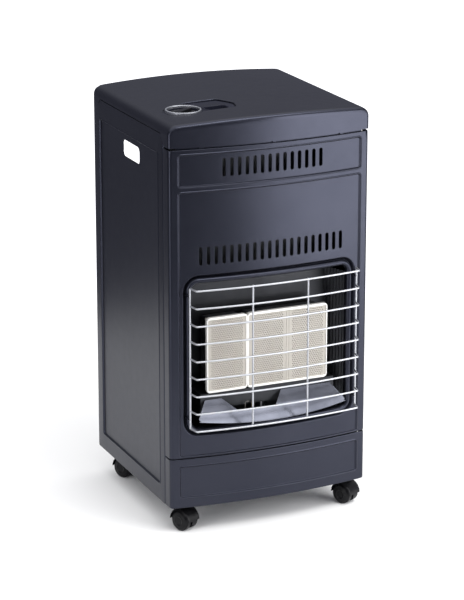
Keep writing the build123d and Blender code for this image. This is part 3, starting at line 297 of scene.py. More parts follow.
class Bend:
    """A line in plan that a sheet follows, as rows of x, y and outward normal."""

    def __init__(self, rows):
        self.rows = np.array(rows, float)
        steps = np.linalg.norm(np.diff(self.rows[:, :2], axis=0), axis=1)
        self.along = np.concatenate([[0], np.cumsum(steps)])
        self.along -= self.along[-1] / 2

    def place(self, flat, deep):
        """Points in space for points of the drawing, pushed in by deep."""
        x, y, nx, ny = (np.interp(flat[:, 0], self.along, column) for column in self.rows.T)
        return np.column_stack([x - nx * deep, y - ny * deep, flat[:, 1]])


def plan_arc(middle, radius, start, end, count):
    """Rows of x, y and normal round an arc; angles turn from -Y towards +X."""
    angles = [math.radians(start + (end - start) * i / count) for i in range(count + 1)]
    normals = [(math.sin(angle), -math.cos(angle)) for angle in angles]
    return [(middle[0] + radius * nx, middle[1] + radius * ny, nx, ny) for nx, ny in normals]


def front_bend(corner, back_to):
    """The plan of the front: a return, a corner, the bow, a corner, a return."""
    x, reach = half_width - corner, bow_radius - corner
    y = bow_centre_y - math.sqrt(reach**2 - x**2)
    lean = math.degrees(math.asin(x / reach))
    rows = [(-half_width, back_to, -1, 0)] + plan_arc((-x, y), corner, -90, -lean, 10)
    rows += plan_arc((0, bow_centre_y), bow_radius, -lean, lean, 120)[1:]
    rows += plan_arc((x, y), corner, lean, 90, 10)[1:]
    return Bend(rows + [(half_width, back_to, 1, 0)])


cabinet_bend = front_bend(7 * MM, front_y + 25 * MM)
print("front sheet is", round(2 * cabinet_bend.along[-1] / MM), "mm wide when flat")

# %% Filling the drawing
sheet_thick = 1 * MM


def fill(loops, spots=()):
    """The points and triangles of a drawing made of closed lines."""
    flat, edges = [], []
    for loop in loops:
        first = len(flat)
        flat += loop
        edges += [(first + i, first + (i + 1) % len(loop)) for i in range(len(loop))]
    filled = delaunay_2d_cdt([Vector(p) for p in flat + list(spots)], edges, [], 1, 1e-7)
    return np.array([tuple(p) for p in filled[0]]), np.array([tuple(f) for f in filled[2]])


def square_to(surface, flat, small):
    """The direction square to a surface, from its slopes over a small distance."""
    slopes = []
    for shift in (np.array((small, 0)), np.array((0, small))):
        slopes.append(surface(flat + shift) - surface(flat - shift))
    normals = np.cross(*slopes)
    return normals / np.maximum(np.linalg.norm(normals, axis=1), 1e-15)[:, None]


def mesh_piece(name, points, polygons, vectors=None, crease=None):
    """An object of a mesh, with given normals or creased where it turns sharply."""
    mesh = bpy.data.meshes.new(name)
    mesh.from_pydata([tuple(p) for p in points], [], polygons)
    mesh.validate()
    mesh.polygons.foreach_set("use_smooth", [True] * len(mesh.polygons))
    if vectors is not None:
        mesh.normals_split_custom_set_from_vertices([tuple(v) for v in vectors])
    if crease is not None:
        mesh.set_sharp_from_angle(angle=math.radians(crease))
    piece = bpy.data.objects.new(name, mesh)
    bpy.context.scene.collection.objects.link(piece)
    return piece


# %% [markdown]
# A sheet has a face, a back and a narrow strip along every cut edge. An edge of
# the drawing that only one triangle uses is such a cut edge.

# %% Giving it a thickness


def skin(name, loops, relief, place, thickness=sheet_thick, is_hole=None, spots=()):
    """A sheet with a face, a back and edges, from a drawing and its depths."""
    flat, faces = fill(loops, spots)
    if is_hole:
        faces = faces[~is_hole(flat[faces].mean(axis=1))]
    front = place(flat, relief(flat))
    back = place(flat, relief(flat) + (thickness(flat) if callable(thickness) else thickness))
    normals = square_to(lambda spots: place(spots, relief(spots)), flat, 0.02 * MM)
    if np.sum(normals * (front - back)) < 0:
        normals = -normals
        faces = faces[:, ::-1]
    sides = {side for a, b, c in faces.tolist() for side in ((a, b), (b, c), (c, a))}
    rim = np.array([(a, b) for a, b in sides if (b, a) not in sides])
    count = len(flat)
    edge_front, edge_back = front[rim], back[rim]
    across = np.cross(edge_front[:, 1] - edge_front[:, 0], edge_back[:, 0] - edge_front[:, 0])
    across /= np.maximum(np.linalg.norm(across, axis=1), 1e-12)[:, None]
    strips = np.stack([*edge_front.swapaxes(0, 1)[::-1], *edge_back.swapaxes(0, 1)], axis=1)
    points = np.concatenate([front, back, strips.reshape(-1, 3)])
    vectors = np.concatenate([normals, -normals, np.repeat(-across, 4, axis=0)])
    polygons = [tuple(f) for f in faces.tolist()]
    polygons += [tuple(i + count for i in f[::-1]) for f in faces.tolist()]
    polygons += [tuple(2 * count + 4 * k + i for i in range(4)) for k in range(len(rim))]
    return mesh_piece(name, points, polygons, vectors)


def dress(piece, finish, *nodes, body="cabinet"):
    """Give a piece its finish and its body, and let it stand for CAD nodes."""
    piece.data.materials.append(finishes[finish])
    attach(piece, body)
    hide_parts(*nodes)
    print(piece.name, len(piece.data.polygons), "faces")


# %% [markdown]
# ## Front panel
# The real panel is drawn from one sheet. It has two pressed fields with two rows
# of punched vents, and a deep groove and a rolled rim round the fire opening. A
# field's edge is a low bead with a step inside it. The bead's crest catches the
# light and the step's foot loses it, and those are the photograph's double lines.

# %% Sizes of the front panel
front_span = (152.6 * MM, 739.2 * MM)
field_half, field_radius = 183 * MM, 5 * MM
edge_wide = 2.2 * MM
press = 2.4 * MM
bead_high, bead_half = 0.8 * MM, 1.8 * MM
vents = ((14, 701.8 * MM), (20, 538.6 * MM))
vent_pitch, vent_wide, vent_tall = 14.9 * MM, 6.5 * MM, 34 * MM
opening_middle, opening_size, opening_radius = (0, 348 * MM), (318 * MM, 278 * MM), 14 * MM
rim_wide, rim_high = 11 * MM, 7.4 * MM
groove_wide, groove_deep = 6.5 * MM, 6.4 * MM
flange_deep = 4 * MM
cut_round, edge_round = 0.6 * MM, 1.3 * MM


def field(bottom, top):
    """A pressed field's middle, size and corner radius, in the drawing."""
    return (0, (bottom + top) / 2 * MM), (2 * field_half, (top - bottom) * MM), field_radius


upper_field, main_field, plinth_field = field(670.5, 729.5), field(156, 660), field(75, 136)
opening_line = (opening_middle, opening_size, opening_radius)
groove_line = (
    opening_middle,
    tuple(size + 2 * (rim_wide + groove_wide) for size in opening_size),
    opening_radius + rim_wide + groove_wide,
)
print("vents", [count for count, _ in vents])

# %% Depths of the front panel


def pressed_field(flat, line):
    """The depth of a field with a bead round it."""
    distance = rounded_distance(flat, *line)
    crest = np.clip(1 - ((distance - 0.5 * bead_half) / bead_half) ** 2, 0, 1)
    return pressed_in(distance, edge_wide, press) - bead_high * crest * crest


def vent_distance(flat):
    """How far points lie from the nearest vent slot."""
    nearest = np.full(len(flat), 1.0)
    for count, height in vents:
        place = np.clip(np.round(flat[:, 0] / vent_pitch - 0.5), -count / 2, count / 2 - 1)
        along = flat[:, 0] - (place + 0.5) * vent_pitch
        reach = (vent_tall - vent_wide) / 2
        up = np.maximum(np.abs(flat[:, 1] - height) - reach, 0)
        nearest = np.minimum(nearest, np.hypot(along, up) - vent_wide / 2)
    return nearest


def ends_off(flat, bottom, top, radius):
    """The depth near a sheet's bottom and top edges, which are rounded."""
    return rounded_off(np.minimum(flat[:, 1] - bottom, top - flat[:, 1]), radius)


def front_relief(flat):
    """The front panel's depth at points of the drawing."""
    deep = pressed_field(flat, upper_field) + pressed_field(flat, main_field)
    outside = rounded_distance(flat, *opening_line)
    deep += pressed_in(outside - rim_wide - groove_wide, groove_wide, groove_deep)
    deep -= rim_high * np.sqrt(np.clip(1 - (2 * outside / rim_wide - 1) ** 2, 0, 1))
    deep += rounded_off(vent_distance(flat), cut_round)
    return deep + ends_off(flat, *front_span, edge_round)


def front_thickness(flat):
    """Sheet thickness, with a deep flange where the fire opening is cut."""
    near = np.clip(1 - rounded_distance(flat, *opening_line) / (0.2 * MM), 0, 1)
    return sheet_thick + near * flange_deep


def front_hole(flat):
    """Whether points lie in a vent or in the fire opening."""
    return (vent_distance(flat) < 0) | within(opening_line)(flat)


# %% [markdown]
# The lines of the drawing stand close together wherever the depth changes: on
# the beads, in the groove, over the rim and round every vent. Loose spots hold
# the sheet to its bow in between.

# %% Front panel
edge_shares = (0, 0.1, 0.35, 1)
sheet_half = cabinet_bend.along[-1]


def field_rings(line):
    """The loops that carry a field's bead and step."""
    return rings(line, 1, np.linspace(1.5 * bead_half, -edge_wide, 13))


def sheet_rings(left, right, bottom, top, radius):
    """A sheet's own outline and the loops inside its rounded edges."""
    outlines = []
    for share in edge_shares:
        x0, x1 = left + share * 0.5 * MM, right - share * 0.5 * MM
        z0, z1 = bottom + share * radius, top - share * radius
        corners = [(x0, z0), (x1, z0), (x1, z1), (x0, z1)]
        outlines.append([])
        for start, end in zip(corners, corners[1:] + corners[:1]):
            outlines[-1] += [start] + straight(start, end, 8 * MM)
    return outlines


def corner_lines(bottom, top):
    """Spots that follow the front's sheets round their vertical corners."""
    columns = [s * (sheet_half - d * MM) for s in (-1, 1) for d in np.arange(12, 32, 1.5)]
    rows = np.arange(bottom + 6 * MM, top - 5 * MM, 12 * MM)
    return [(u, z) for u in columns for z in rows]


def clear_of_cuts(flat):
    """Whether points lie well away from the groove and the vents."""
    return (rounded_distance(flat, *groove_line) > 4 * MM) & (vent_distance(flat) > 2 * MM)


front_loops = sheet_rings(-sheet_half, sheet_half, *front_span, edge_round)
front_loops += field_rings(upper_field) + field_rings(main_field)
front_loops += rings(groove_line, -groove_wide, np.arange(8) / 8)
rim_shares = [0.5 - 0.5 * math.cos(math.pi * i / 14) for i in range(15)]
front_loops += rings(opening_line, rim_wide, rim_shares, turns=8)
for count, height in vents:
    for x in (np.arange(count) - (count - 1) / 2) * vent_pitch:
        # A hair under half the width, so that no two points of a loop meet.
        slot = ((x, height), (vent_wide, vent_tall), vent_wide / 2.001)
        front_loops += rings(slot, cut_round, edge_shares, turns=4)

grid_x, grid_z = np.arange(-11.5, 12) * vent_pitch, np.arange(0.17, 0.73, 0.016)
front_spots = corner_lines(*front_span)
front_spots += kept([(x, z) for x in grid_x for z in grid_z], clear_of_cuts)
front = skin(
    "front_sheet", front_loops, front_relief, cabinet_bend.place, front_thickness,
    front_hole, front_spots
)
dress(front, "cabinet_paint", "front_panel")

# %% [markdown]
# The panel's upper edge steps back and stands up as a tongue behind the lid's
# skirt. Three small rests bridge the dark gap below the skirt.

# %% Tongue and rests behind the skirt
band_round = 0.4 * MM
thirds = (("left", -1), ("middle", 0), ("right", 1))


def arc_bend(half, inset):
    """A plan along the bow only, moved in by inset."""
    lean = math.degrees(math.asin(half / (bow_radius - inset)))
    return Bend(plan_arc((0, bow_centre_y), bow_radius - inset, -lean, lean, 60))


def band(name, bend, line, thick=sheet_thick):
    """A plain strip of sheet, bent along a plan."""
    loops = rings(line, -band_round, (0, 0.2, 1), step=6 * MM, turns=3)
    return skin(name, loops, rounded_edge(line, band_round), bend.place, thick)


tongue_line = ((0, 751 * MM), (372 * MM, 26 * MM), 2 * MM)
tongue = band("front_tongue", arc_bend(188 * MM, 4 * MM), tongue_line)
dress(tongue, "cabinet_paint", "front_panel")
rest_bend = arc_bend(188 * MM, 0.3 * MM)
for name, step in thirds:
    rest_line = ((step * 140 * MM, 741.6 * MM), (7 * MM, 3 * MM), 0.8 * MM)
    rest = band(f"lid_rest_{name}", rest_bend, rest_line, 3.6 * MM)
    dress(rest, "cabinet_paint", "front_panel")

# %% [markdown]
# ## Plinth
# Below the front panel a separate sheet covers the base. It follows the same
# bow, with one pressed field, and a fine gap parts it from the panel above.

# %% Plinth
plinth_span = (55 * MM, 151.1 * MM)


def plinth_relief(flat):
    """The plinth's depth at points of the drawing."""
    return pressed_field(flat, plinth_field) + ends_off(flat, *plinth_span, edge_round)


plinth_loops = sheet_rings(-sheet_half, sheet_half, *plinth_span, edge_round)
plinth_loops += field_rings(plinth_field)
plinth = skin(
    "plinth_sheet", plinth_loops, plinth_relief, cabinet_bend.place,
    spots=corner_lines(*plinth_span)
)
dress(plinth, "cabinet_paint", "plinth_panel")

# %% [markdown]
# ## Side panels
# Each side is one tall sheet, folded in at the front and the back, with a large
# pressed field and a cut-out that serves as a handle. The cut-out's edge is
# rolled inwards, so that it is kind to fingers.

# %% Side panels
side_span = (55 * MM, 763.2 * MM)
fold, flange = 4 * MM, 14 * MM
side_front = front_y + 26.2 * MM
side_middle_y = front_y + 198 * MM
side_field = ((0, 406.5 * MM), (294 * MM, 637 * MM), 5 * MM)
handle_line = ((front_y + 188 * MM - side_middle_y, 695.5 * MM), (84 * MM, 32 * MM), 10 * MM)
lip_round, lip_deep = 1.5 * MM, 0.6 * MM
top_round = 0.5 * MM


def side_bend(side):
    """The plan of a side panel, from its front flange round to its rear one."""
    rows = [(half_width - flange, side_front, 0, -1)]
    for y, start in ((side_front + fold, 0), (rear_y - fold, 90)):
        rows += plan_arc((half_width - fold, y), fold, start, start + 90, 8)
    rows.append((half_width - flange, rear_y, 0, 1))
    bend = Bend(np.array(rows) * (side, 1, side, 1))
    bend.along -= np.interp(side_middle_y, bend.rows[5:-5, 1], bend.along[5:-5])
    return bend


def side_relief(flat):
    """The side panel's depth at points of the drawing."""
    deep = pressed_field(flat, side_field)
    deep += rounded_off(rounded_distance(flat, *handle_line), lip_round)
    return deep + ends_off(flat, *side_span, top_round)


def side_thickness(flat):
    """Sheet thickness, with a lip where the handle is cut."""
    near = np.clip(1 - rounded_distance(flat, *handle_line) / lip_round, 0, 1)
    return sheet_thick + lip_deep * near


for side, name in ((-1, "left"), (1, "right")):
    bend = side_bend(side)
    loops = sheet_rings(bend.along[0], bend.along[-1], *side_span, top_round)
    loops += field_rings(side_field)
    loops += rings(handle_line, lip_round, (0, 0.04, 0.14, 0.3, 0.6, 1))
    folds = [u for u in bend.along[2:-2] if abs(u) > 160 * MM]
    sheet = skin(
        f"side_sheet_{name}", loops, side_relief, bend.place, side_thickness,
        within(handle_line), [(u, z) for u in folds for z in np.arange(0.062, 0.761, 0.012)]
    )
    dress(sheet, "cabinet_paint", f"side_panel_{name}")
    x = side * (half_width - 5 * MM)
    tongue_bend = Bend([(x, front_y + 36 * MM, side, 0), (x, rear_y - 38 * MM, side, 0)])
    tongue_line = ((0, 766 * MM), (300 * MM, 18 * MM), 2 * MM)
    tongue = band(f"side_tongue_{name}", tongue_bend, tongue_line)
    dress(tongue, "cabinet_paint", f"side_panel_{name}")

# %% [markdown]
# ## Lid
# The lid is one smooth cover. Seen from above it is a bowed rectangle with small
# corners. Its drawing is that plan, and whatever lies outside the plan hangs
# down as the skirt. The top is crowned from side to side, rolls over widely at
# the sides and tightly along the front, and has a cut for the controls.

# %% Shape of the lid
lid_half = half_width + 0.6 * MM
lid_corner = 7 * MM
lid_bow = bow_radius + 1 * MM
lid_back = rear_y + 1 * MM
lid_corner_top, lid_crown = 783 * MM, 9 * MM
side_round, front_round, rear_round = 18 * MM, 7 * MM, 3 * MM
lid_wall, collar_deep = 0.8 * MM, 4 * MM
lid_reach, core_bow = lid_half - lid_corner, lid_bow - lid_corner
lid_lean = math.asin(lid_reach / core_bow)


def rolled(distance, radius):
    """How far a rolled edge has dropped at a distance inside its outline."""
    near = np.clip(distance, 0, radius)
    return radius - np.sqrt(np.maximum(radius**2 - (radius - near) ** 2, 0))


def lid_core(flat):
    """The nearest place of the lid's plan drawn in by its corner radius."""
    x, y = flat[:, 0], flat[:, 1]
    angle = np.clip(np.arctan2(x, bow_centre_y - y), -lid_lean, lid_lean)
    arc = np.column_stack([core_bow * np.sin(angle), bow_centre_y - core_bow * np.cos(angle)])
    inner_x = np.clip(x, -lid_reach, lid_reach)
    inner = np.column_stack([inner_x, np.minimum(y, lid_back - lid_corner)])
    ahead = y < bow_centre_y - np.sqrt(core_bow**2 - inner_x**2)
    return np.where(ahead[:, None], arc, inner)


def lid_surface(flat):
    """Where the drawing of the lid lies in space."""
    core = lid_core(flat)
    gap = flat - core
    size = np.linalg.norm(gap, axis=1)
    outward = gap / np.maximum(size, 1e-9)[:, None]
    x, y = (core + outward * np.minimum(size, lid_corner)[:, None]).T
    radius = np.where(outward[:, 1] < 0, front_round, rear_round) * np.abs(outward[:, 1])
    z = lid_corner_top + lid_crown * (1 - (x / lid_half) ** 2)
    z = z - rolled(lid_half - np.abs(x), side_round) - rolled(lid_corner - size, radius)
    return np.column_stack([x, y, z - np.maximum(size - lid_corner, 0)])


def lid_place(flat, deep):
    """The lid's surface, pushed in along its own normal."""
    return lid_surface(flat) - square_to(lid_surface, flat, 0.05 * MM) * deep[:, None]


def lid_walk():
    """Rows of place and outward direction all round the lid's drawn-in plan."""
    lean = math.degrees(lid_lean)
    front, rear = bow_centre_y - math.sqrt(core_bow**2 - lid_reach**2), lid_back - lid_corner
    rows = plan_arc((0, bow_centre_y), core_bow, -lean, lean, 60)[:-1]
    corners = ((1, front, lean, 90), (1, rear, 90, 180), (-1, rear, 180, 270))
    for side, y, start, end in (*corners, (-1, front, 270, 360 - lean)):
        corner = (side * lid_reach, y)
        rows += [(*place, *rows[-1][2:]) for place in straight(rows[-1][:2], corner, 8 * MM)]
        rows += plan_arc(corner, 0, start, end, 8)
    return np.array(rows[:-1])


lid_rows = lid_walk()


def lid_loop(grow):
    """A closed line parallel to the lid's outline."""
    reach = lid_corner + np.broadcast_to(grow, len(lid_rows))
    return (lid_rows[:, :2] + lid_rows[:, 2:] * reach[:, None]).tolist()


print("the lid's outline has", len(lid_rows), "points")

# %% The recess for the controls
knob_spot = (-131 * MM, front_y + 95 * MM)
button_spot = (-68 * MM, front_y + 90 * MM)
button_well = (button_spot, (42 * MM, 30 * MM), 9 * MM)
recess_corners = [(-153, 125), (-113, 145), (-45, 145), (-27, 104), (-36, 70), (-131, 66)]
recess_corners = [(x * MM, front_y + y * MM) for x, y in recess_corners]
recess_middle, recess_round = (-95 * MM, front_y + 102 * MM), 2 * MM
corner_blend, disc_blend, disc_radius = 2.5 * MM, 2 * MM, 37 * MM


def recess_distance(flat):
    """How far points lie outside the keyhole-shaped recess."""
    sides = []
    for start, end in zip(recess_corners, recess_corners[1:] + recess_corners[:1]):
        along = np.subtract(end, start) / math.dist(start, end)
        sides.append((flat - np.array(start)) @ np.array((-along[1], along[0])))
    block = corner_blend * np.log(np.sum(np.exp(np.array(sides) / corner_blend), axis=0))
    disc = np.linalg.norm(flat - np.array(knob_spot), axis=1) - disc_radius
    return -disc_blend * np.log(np.exp(-block / disc_blend) + np.exp(-disc / disc_blend))


def recess_loop(level, count=96):
    """The closed line that lies at one distance outside the recess."""
    middle, outward = np.array(recess_middle), np.array(circle_loop((0, 0), 1, count))
    low, high = np.zeros(count), np.full(count, 0.12)
    for _ in range(40):
        reach = (low + high) / 2
        outside = recess_distance(middle + outward * reach[:, None]) > level
        low, high = np.where(outside, low, reach), np.where(outside, reach, high)
    return (middle + outward * low[:, None]).tolist()


recess_line = np.array(recess_loop(0))
print("recess", np.round(np.ptp(recess_line, axis=0) / MM), "mm")

# %% Lid


def skirt_bottom(y):
    """How low the skirt hangs: deep at the front corners, shallow along the sides."""
    stops = [front_y + 24 * MM, front_y + 36 * MM, rear_y - 38 * MM, rear_y - 26 * MM]
    return np.interp(y, stops, [743 * MM, 766 * MM, 766 * MM, 752 * MM])


lid_edge = lid_surface(np.array(lid_loop(0)))
skirt = lid_edge[:, 2] - skirt_bottom(lid_edge[:, 1])
lid_loops = [lid_loop(-d * MM) for d in (0.15, 0.5, 1.1, 2, 3.2, 4.6, 6.2)]
lid_loops += [lid_loop(skirt * share) for share in (0, 0.12, 0.4, 0.75, 0.97, 1)]
lid_loops += [recess_loop(recess_round * g) for g in (0, 0.1, 0.25, 0.5, 0.75, 1, 1.4)]

side_steps = (8, 9.5, 11, 13, 15.5, 18, 22, 28)
side_columns = [s * (lid_half - d * MM) for s in (-1, 1) for d in side_steps]
lid_spots = []
for columns, step in ((side_columns, 9 * MM), (np.arange(-168, 169, 12) * MM, 12 * MM)):
    for x in columns:
        lid_spots += [(x, y) for y in np.arange(bow_y(x) + 10 * MM, lid_back - 8 * MM, step)]
lid_spots = kept(lid_spots, lambda flat: recess_distance(flat) > 4 * MM)


def lid_relief(flat):
    """The lid's edge is rolled down into the recess."""
    return rounded_off(recess_distance(flat), recess_round)


def lid_thickness(flat):
    """The lid's wall, with a collar that reaches down round the recess."""
    return lid_wall + collar_deep * np.clip(1 - recess_distance(flat) / lid_wall, 0, 1)


lid_cover = skin(
    "lid_cover", lid_loops, lid_relief, lid_place, lid_thickness,
    lambda flat: recess_distance(flat) < 0, lid_spots
)
dress(lid_cover, "lid_paint", "lid")

# %% [markdown]
# ## Controls
# The recess has a moulded floor with two wells. A bright ring stands round the
# knob's well, and a fine raised lip runs round the button's. The ring is turned:
# its section is drawn once and carried round the middle.

# %% Floor of the recess
floor_z, floor_rise = 784.5 * MM, 4 * MM
floor_left, floor_right = -168 * MM, -27 * MM
knob_well, knob_well_deep, button_well_deep = 30 * MM, 11.5 * MM, 17 * MM
well_round, floor_thick = 0.8 * MM, 1.4 * MM
lip_middle, lip_high = 1.6 * MM, 1.5 * MM


def bezel_relief(flat):
    """The depth of the wells, and the lip round the button."""
    knob_gap = np.linalg.norm(flat - np.array(knob_spot), axis=1) - knob_well
    button_gap = rounded_distance(flat, *button_well)
    deep = pressed_in(knob_gap, well_round, knob_well_deep)
    deep += pressed_in(button_gap, well_round, button_well_deep)
    return deep - lip_high * np.clip(1 - (button_gap / lip_middle - 1) ** 2, 0, 1)


def recess_place(flat, deep):
    """The floor of the recess, which rises with the lid, its relief cut downwards."""
    share = (flat[:, 0] - floor_left) / (floor_right - floor_left)
    return np.column_stack([flat, floor_z + floor_rise * share - deep])


bezel_loops = [recess_loop(-d * MM) for d in (0.25, 1.2)]
bezel_loops += [circle_loop(knob_spot, knob_well - d * MM) for d in (0, 0.15, 0.4, 0.65, 0.8, 2)]
lip_steps = (3.2, 2.8, 2.2, 1.6, 1.0, 0.5, 0.05, -0.1, -0.4, -0.65, -0.8, -1.8)
bezel_loops += rings(button_well, MM, lip_steps, step=4 * MM, turns=8)
bezel = skin(
    "control_floor", bezel_loops, bezel_relief, recess_place, floor_thick,
    lambda flat: recess_distance(flat) > 0.5 * MM
)
dress(bezel, "control_plastic", "control_bezel")

# %% [markdown]
# The ignition button lies deep in its well. Its edge is rounded, and its top is
# hollowed for a fingertip.

# %% Ignition button
button_top, button_thick = 779 * MM, 1.5 * MM
button_round, hollow_deep = 1.5 * MM, 1.6 * MM
button_line = (button_spot, (38 * MM, 26 * MM), 8 * MM)


def button_relief(flat):
    """A rounded edge and a hollow in the middle."""
    inside = -rounded_distance(flat, *button_line)
    return rounded_off(inside, button_round) + pressed_in(4 * MM - inside, 8 * MM, hollow_deep)


def button_place(flat, deep):
    """The button's top lies level, its relief cut downwards."""
    return np.column_stack([flat, button_top - deep])


button_loops = rings(button_line, -MM, (0, 0.15, 0.5, 1, 1.5, 4, 6, 8, 10, 12), step=4 * MM)
button = skin("hollowed_button", button_loops, button_relief, button_place, button_thick)
dress(button, "black_plastic", "piezo_button", body="button")

# %% Ring round the knob


def turned(name, section, middle, count=96):
    """A ring: a closed section of (radius, height) carried round a middle."""
    circles = [circle_loop(middle, radius, count) for radius, _ in section]
    points = [(*spot, z) for row in zip(*circles) for spot, (_, z) in zip(row, section)]
    polygons, size = [], len(section)
    for i in range(count):
        for j in range(size):
            here, ahead = i * size, (i + 1) % count * size
            k = (j + 1) % size
            polygons.append((here + j, ahead + j, ahead + k, here + k))
    return mesh_piece(name, points, polygons, crease=40)


def ring_section(inner, outer, bottom, top, rounding, steps=6):
    """An upright section whose two top corners are rounded."""
    section = [(inner, bottom), (outer, bottom)]
    for middle, start in ((outer - rounding, 0), (inner + rounding, 90)):
        for i in range(steps + 1):
            angle = math.radians(start + 90 * i / steps)
            up = top - rounding + rounding * math.sin(angle)
            section.append((middle + rounding * math.cos(angle), up))
    return section


section = ring_section(30.3 * MM, 33.5 * MM, floor_z, 790.2 * MM, 1.5 * MM)
ring = turned("bright_ring", section, knob_spot)
dress(ring, "silver_trim", "knob_ring")

# %% [markdown]
# ## Wire guard
# Nine bowed wires with returned ends hang on four uprights, and four feet in the
# cabinet's colour hold the outer two. Each is a tube along a line. The tube's
# frame is carried along the line, so it never twists.

# %% Tubes along lines


def tube(path, radius, sides=16):
    """Points and polygons of a round bar along a line, closed at both ends."""
    path = np.array(path, float)
    heading = np.gradient(path, axis=0)
    heading /= np.linalg.norm(heading, axis=1)[:, None]
    start = np.array((0, 0, 1)) if abs(heading[0][2]) < 0.9 else np.array((1, 0, 0))
    side = np.cross(heading[0], start)
    points = []
    for spot, ahead in zip(path, heading):
        side = side - ahead * side.dot(ahead)
        side /= np.linalg.norm(side)
        other = np.cross(ahead, side)
        for i in range(sides):
            angle = 2 * math.pi * i / sides
            points.append(spot + radius * (side * math.cos(angle) + other * math.sin(angle)))
    polygons = []
    last = (len(path) - 1) * sides
    for here in range(0, last, sides):
        for j in range(sides):
            k = (j + 1) % sides
            polygons.append((here + j, here + k, here + sides + k, here + sides + j))
    return points, polygons + [tuple(range(sides))[::-1], tuple(range(last, last + sides))]


def tubes(name, paths, radius):
    """Several round bars as one piece."""
    points, polygons = [], []
    for path in paths:
        more, faces = tube(path, radius)
        polygons += [tuple(len(points) + i for i in face) for face in faces]
        points += more
    return mesh_piece(name, points, polygons, crease=50)


def bent(corners, radius, steps=8):
    """A line through corners, rounded at each one but the ends."""
    corners = [np.array(corner, float) for corner in corners]
    line = [corners[0]]
    for before, corner, after in zip(corners, corners[1:], corners[2:]):
        to_before, to_after = before - corner, after - corner
        to_before /= np.linalg.norm(to_before)
        to_after /= np.linalg.norm(to_after)
        half = math.acos(np.clip(to_before.dot(to_after), -1, 1)) / 2
        cut = radius / math.tan(half)
        inward = (to_before + to_after) / np.linalg.norm(to_before + to_after)
        middle = corner + inward * radius / math.sin(half)
        start, end = corner + to_before * cut - middle, corner + to_after * cut - middle
        sweep = math.acos(np.clip(start.dot(end) / radius**2, -1, 1))
        for i in range(steps + 1):
            share = i / steps
            arm = math.sin((1 - share) * sweep) * start + math.sin(share * sweep) * end
            line.append(middle + arm / math.sin(sweep))
    return line + [corners[-1]]


# %% Wire guard
guard_radius = bow_radius + 35 * MM
guard_half = 168.3 * MM
guard_bottom, guard_pitch = 216 * MM, 33.6 * MM
wire_radius, wire_bend, wire_count = 1.75 * MM, 4 * MM, 9
wire_inset, wire_return = 4.6 * MM, 20.4 * MM
post_x = 55.5 * MM


def guard_y(x):
    """Where the guard's wires lie at x."""
    return bow_centre_y - math.sqrt(guard_radius**2 - x**2)


upright_y = guard_y(guard_half) + wire_return
wire_half = guard_half - wire_inset
wires = []
for row in range(wire_count):
    z = guard_bottom + row * guard_pitch
    bow = [(x, guard_y(x), z) for x in np.linspace(-wire_half, wire_half, 41)]
    left = bent([(-guard_half + 1 * MM, upright_y, z), bow[0], bow[3]], wire_bend)
    right = bent([bow[-4], bow[-1], (guard_half - 1 * MM, upright_y, z)], wire_bend)
    wires.append(left[:-1] + bow[3:-3] + right[1:])
dress(tubes("bowed_wires", wires, wire_radius), "guard_chrome", "guard_wires")

guard_top = guard_bottom + (wire_count - 1) * guard_pitch
uprights, feet = [], []
for x in (-guard_half, guard_half):
    uprights.append([(x, upright_y, guard_bottom), (x, upright_y, guard_top)])
    for z in (guard_bottom + guard_pitch / 2, guard_top - guard_pitch / 2):
        feet.append([(x, upright_y, z), (x, front_y + 4 * MM, z)])
for x in (-post_x, post_x):
    y = guard_y(x) + 2 * wire_radius - 0.3 * MM
    uprights.append([(x, y, guard_bottom - wire_radius), (x, y, guard_top + wire_radius)])
dress(tubes("guard_posts", uprights, wire_radius), "guard_chrome", "guard_uprights")
dress(tubes("guard_feet", feet, wire_radius), "cabinet_paint", "guard_uprights")

# %% [markdown]
# ## Burners
# Each burner is a bright pressed frame round its ceramic plaques, and a ceramic
# seam fills the gap between the double burner's two. A plaque is drilled with
# hundreds of fine holes, and every one of them is in the mesh, as a small loop
# of the drawing with a deeper and narrower one inside it.

# %% Burner frames
burner_y = front_y + 7 * MM
burner_z = 341 * MM
plaque_pitch = 82 * MM
plaque_wide, plaque_tall = 77 * MM, 140 * MM
frame_deep, seam_deep, seam_round = 6 * MM, 4 * MM, 0.5 * MM


def upright_place(y):
    """A placing for drawings that stand upright and face the front."""
    return lambda flat, deep: np.column_stack([flat[:, 0], y + deep, flat[:, 1]])


def burner_frame(name, middle, count):
    """A pressed frame round one or two plaques."""
    outer = ((middle, burner_z), (count * plaque_pitch, plaque_tall + 6 * MM), 7 * MM)
    window = (count * plaque_pitch - 5.6 * MM, plaque_tall - 3 * MM)
    inner = ((middle, burner_z), window, 2 * MM)
    outer_round, inner_round = 1.8 * MM, 0.9 * MM

    def relief(flat):
        cut = rounded_off(rounded_distance(flat, *inner), inner_round)
        return rounded_edge(outer, outer_round)(flat) + cut

    loops = rings(outer, -outer_round, (0, 0.05, 0.15, 0.35, 0.65, 1))
    loops += rings(inner, inner_round, (0, 0.1, 0.4, 1), turns=4)
    return skin(name, loops, relief, upright_place(burner_y), frame_deep, within(inner))


dress(burner_frame("single_frame", -plaque_pitch, 1), "aluminised", "burner_frame_single")
dress(burner_frame("double_frame", plaque_pitch / 2, 2), "aluminised", "burner_frame_double")

seam_size = (plaque_pitch - plaque_wide, plaque_tall - 1 * MM)
seam_line = ((plaque_pitch / 2, burner_z), seam_size, 1 * MM)
seam = skin(
    "plaque_seam", rings(seam_line, -seam_round, (0, 0.3, 1), turns=3),
    rounded_edge(seam_line, seam_round), upright_place(burner_y + 1.4 * MM), seam_deep
)
dress(seam, "ceramic", "burner_frame_double")

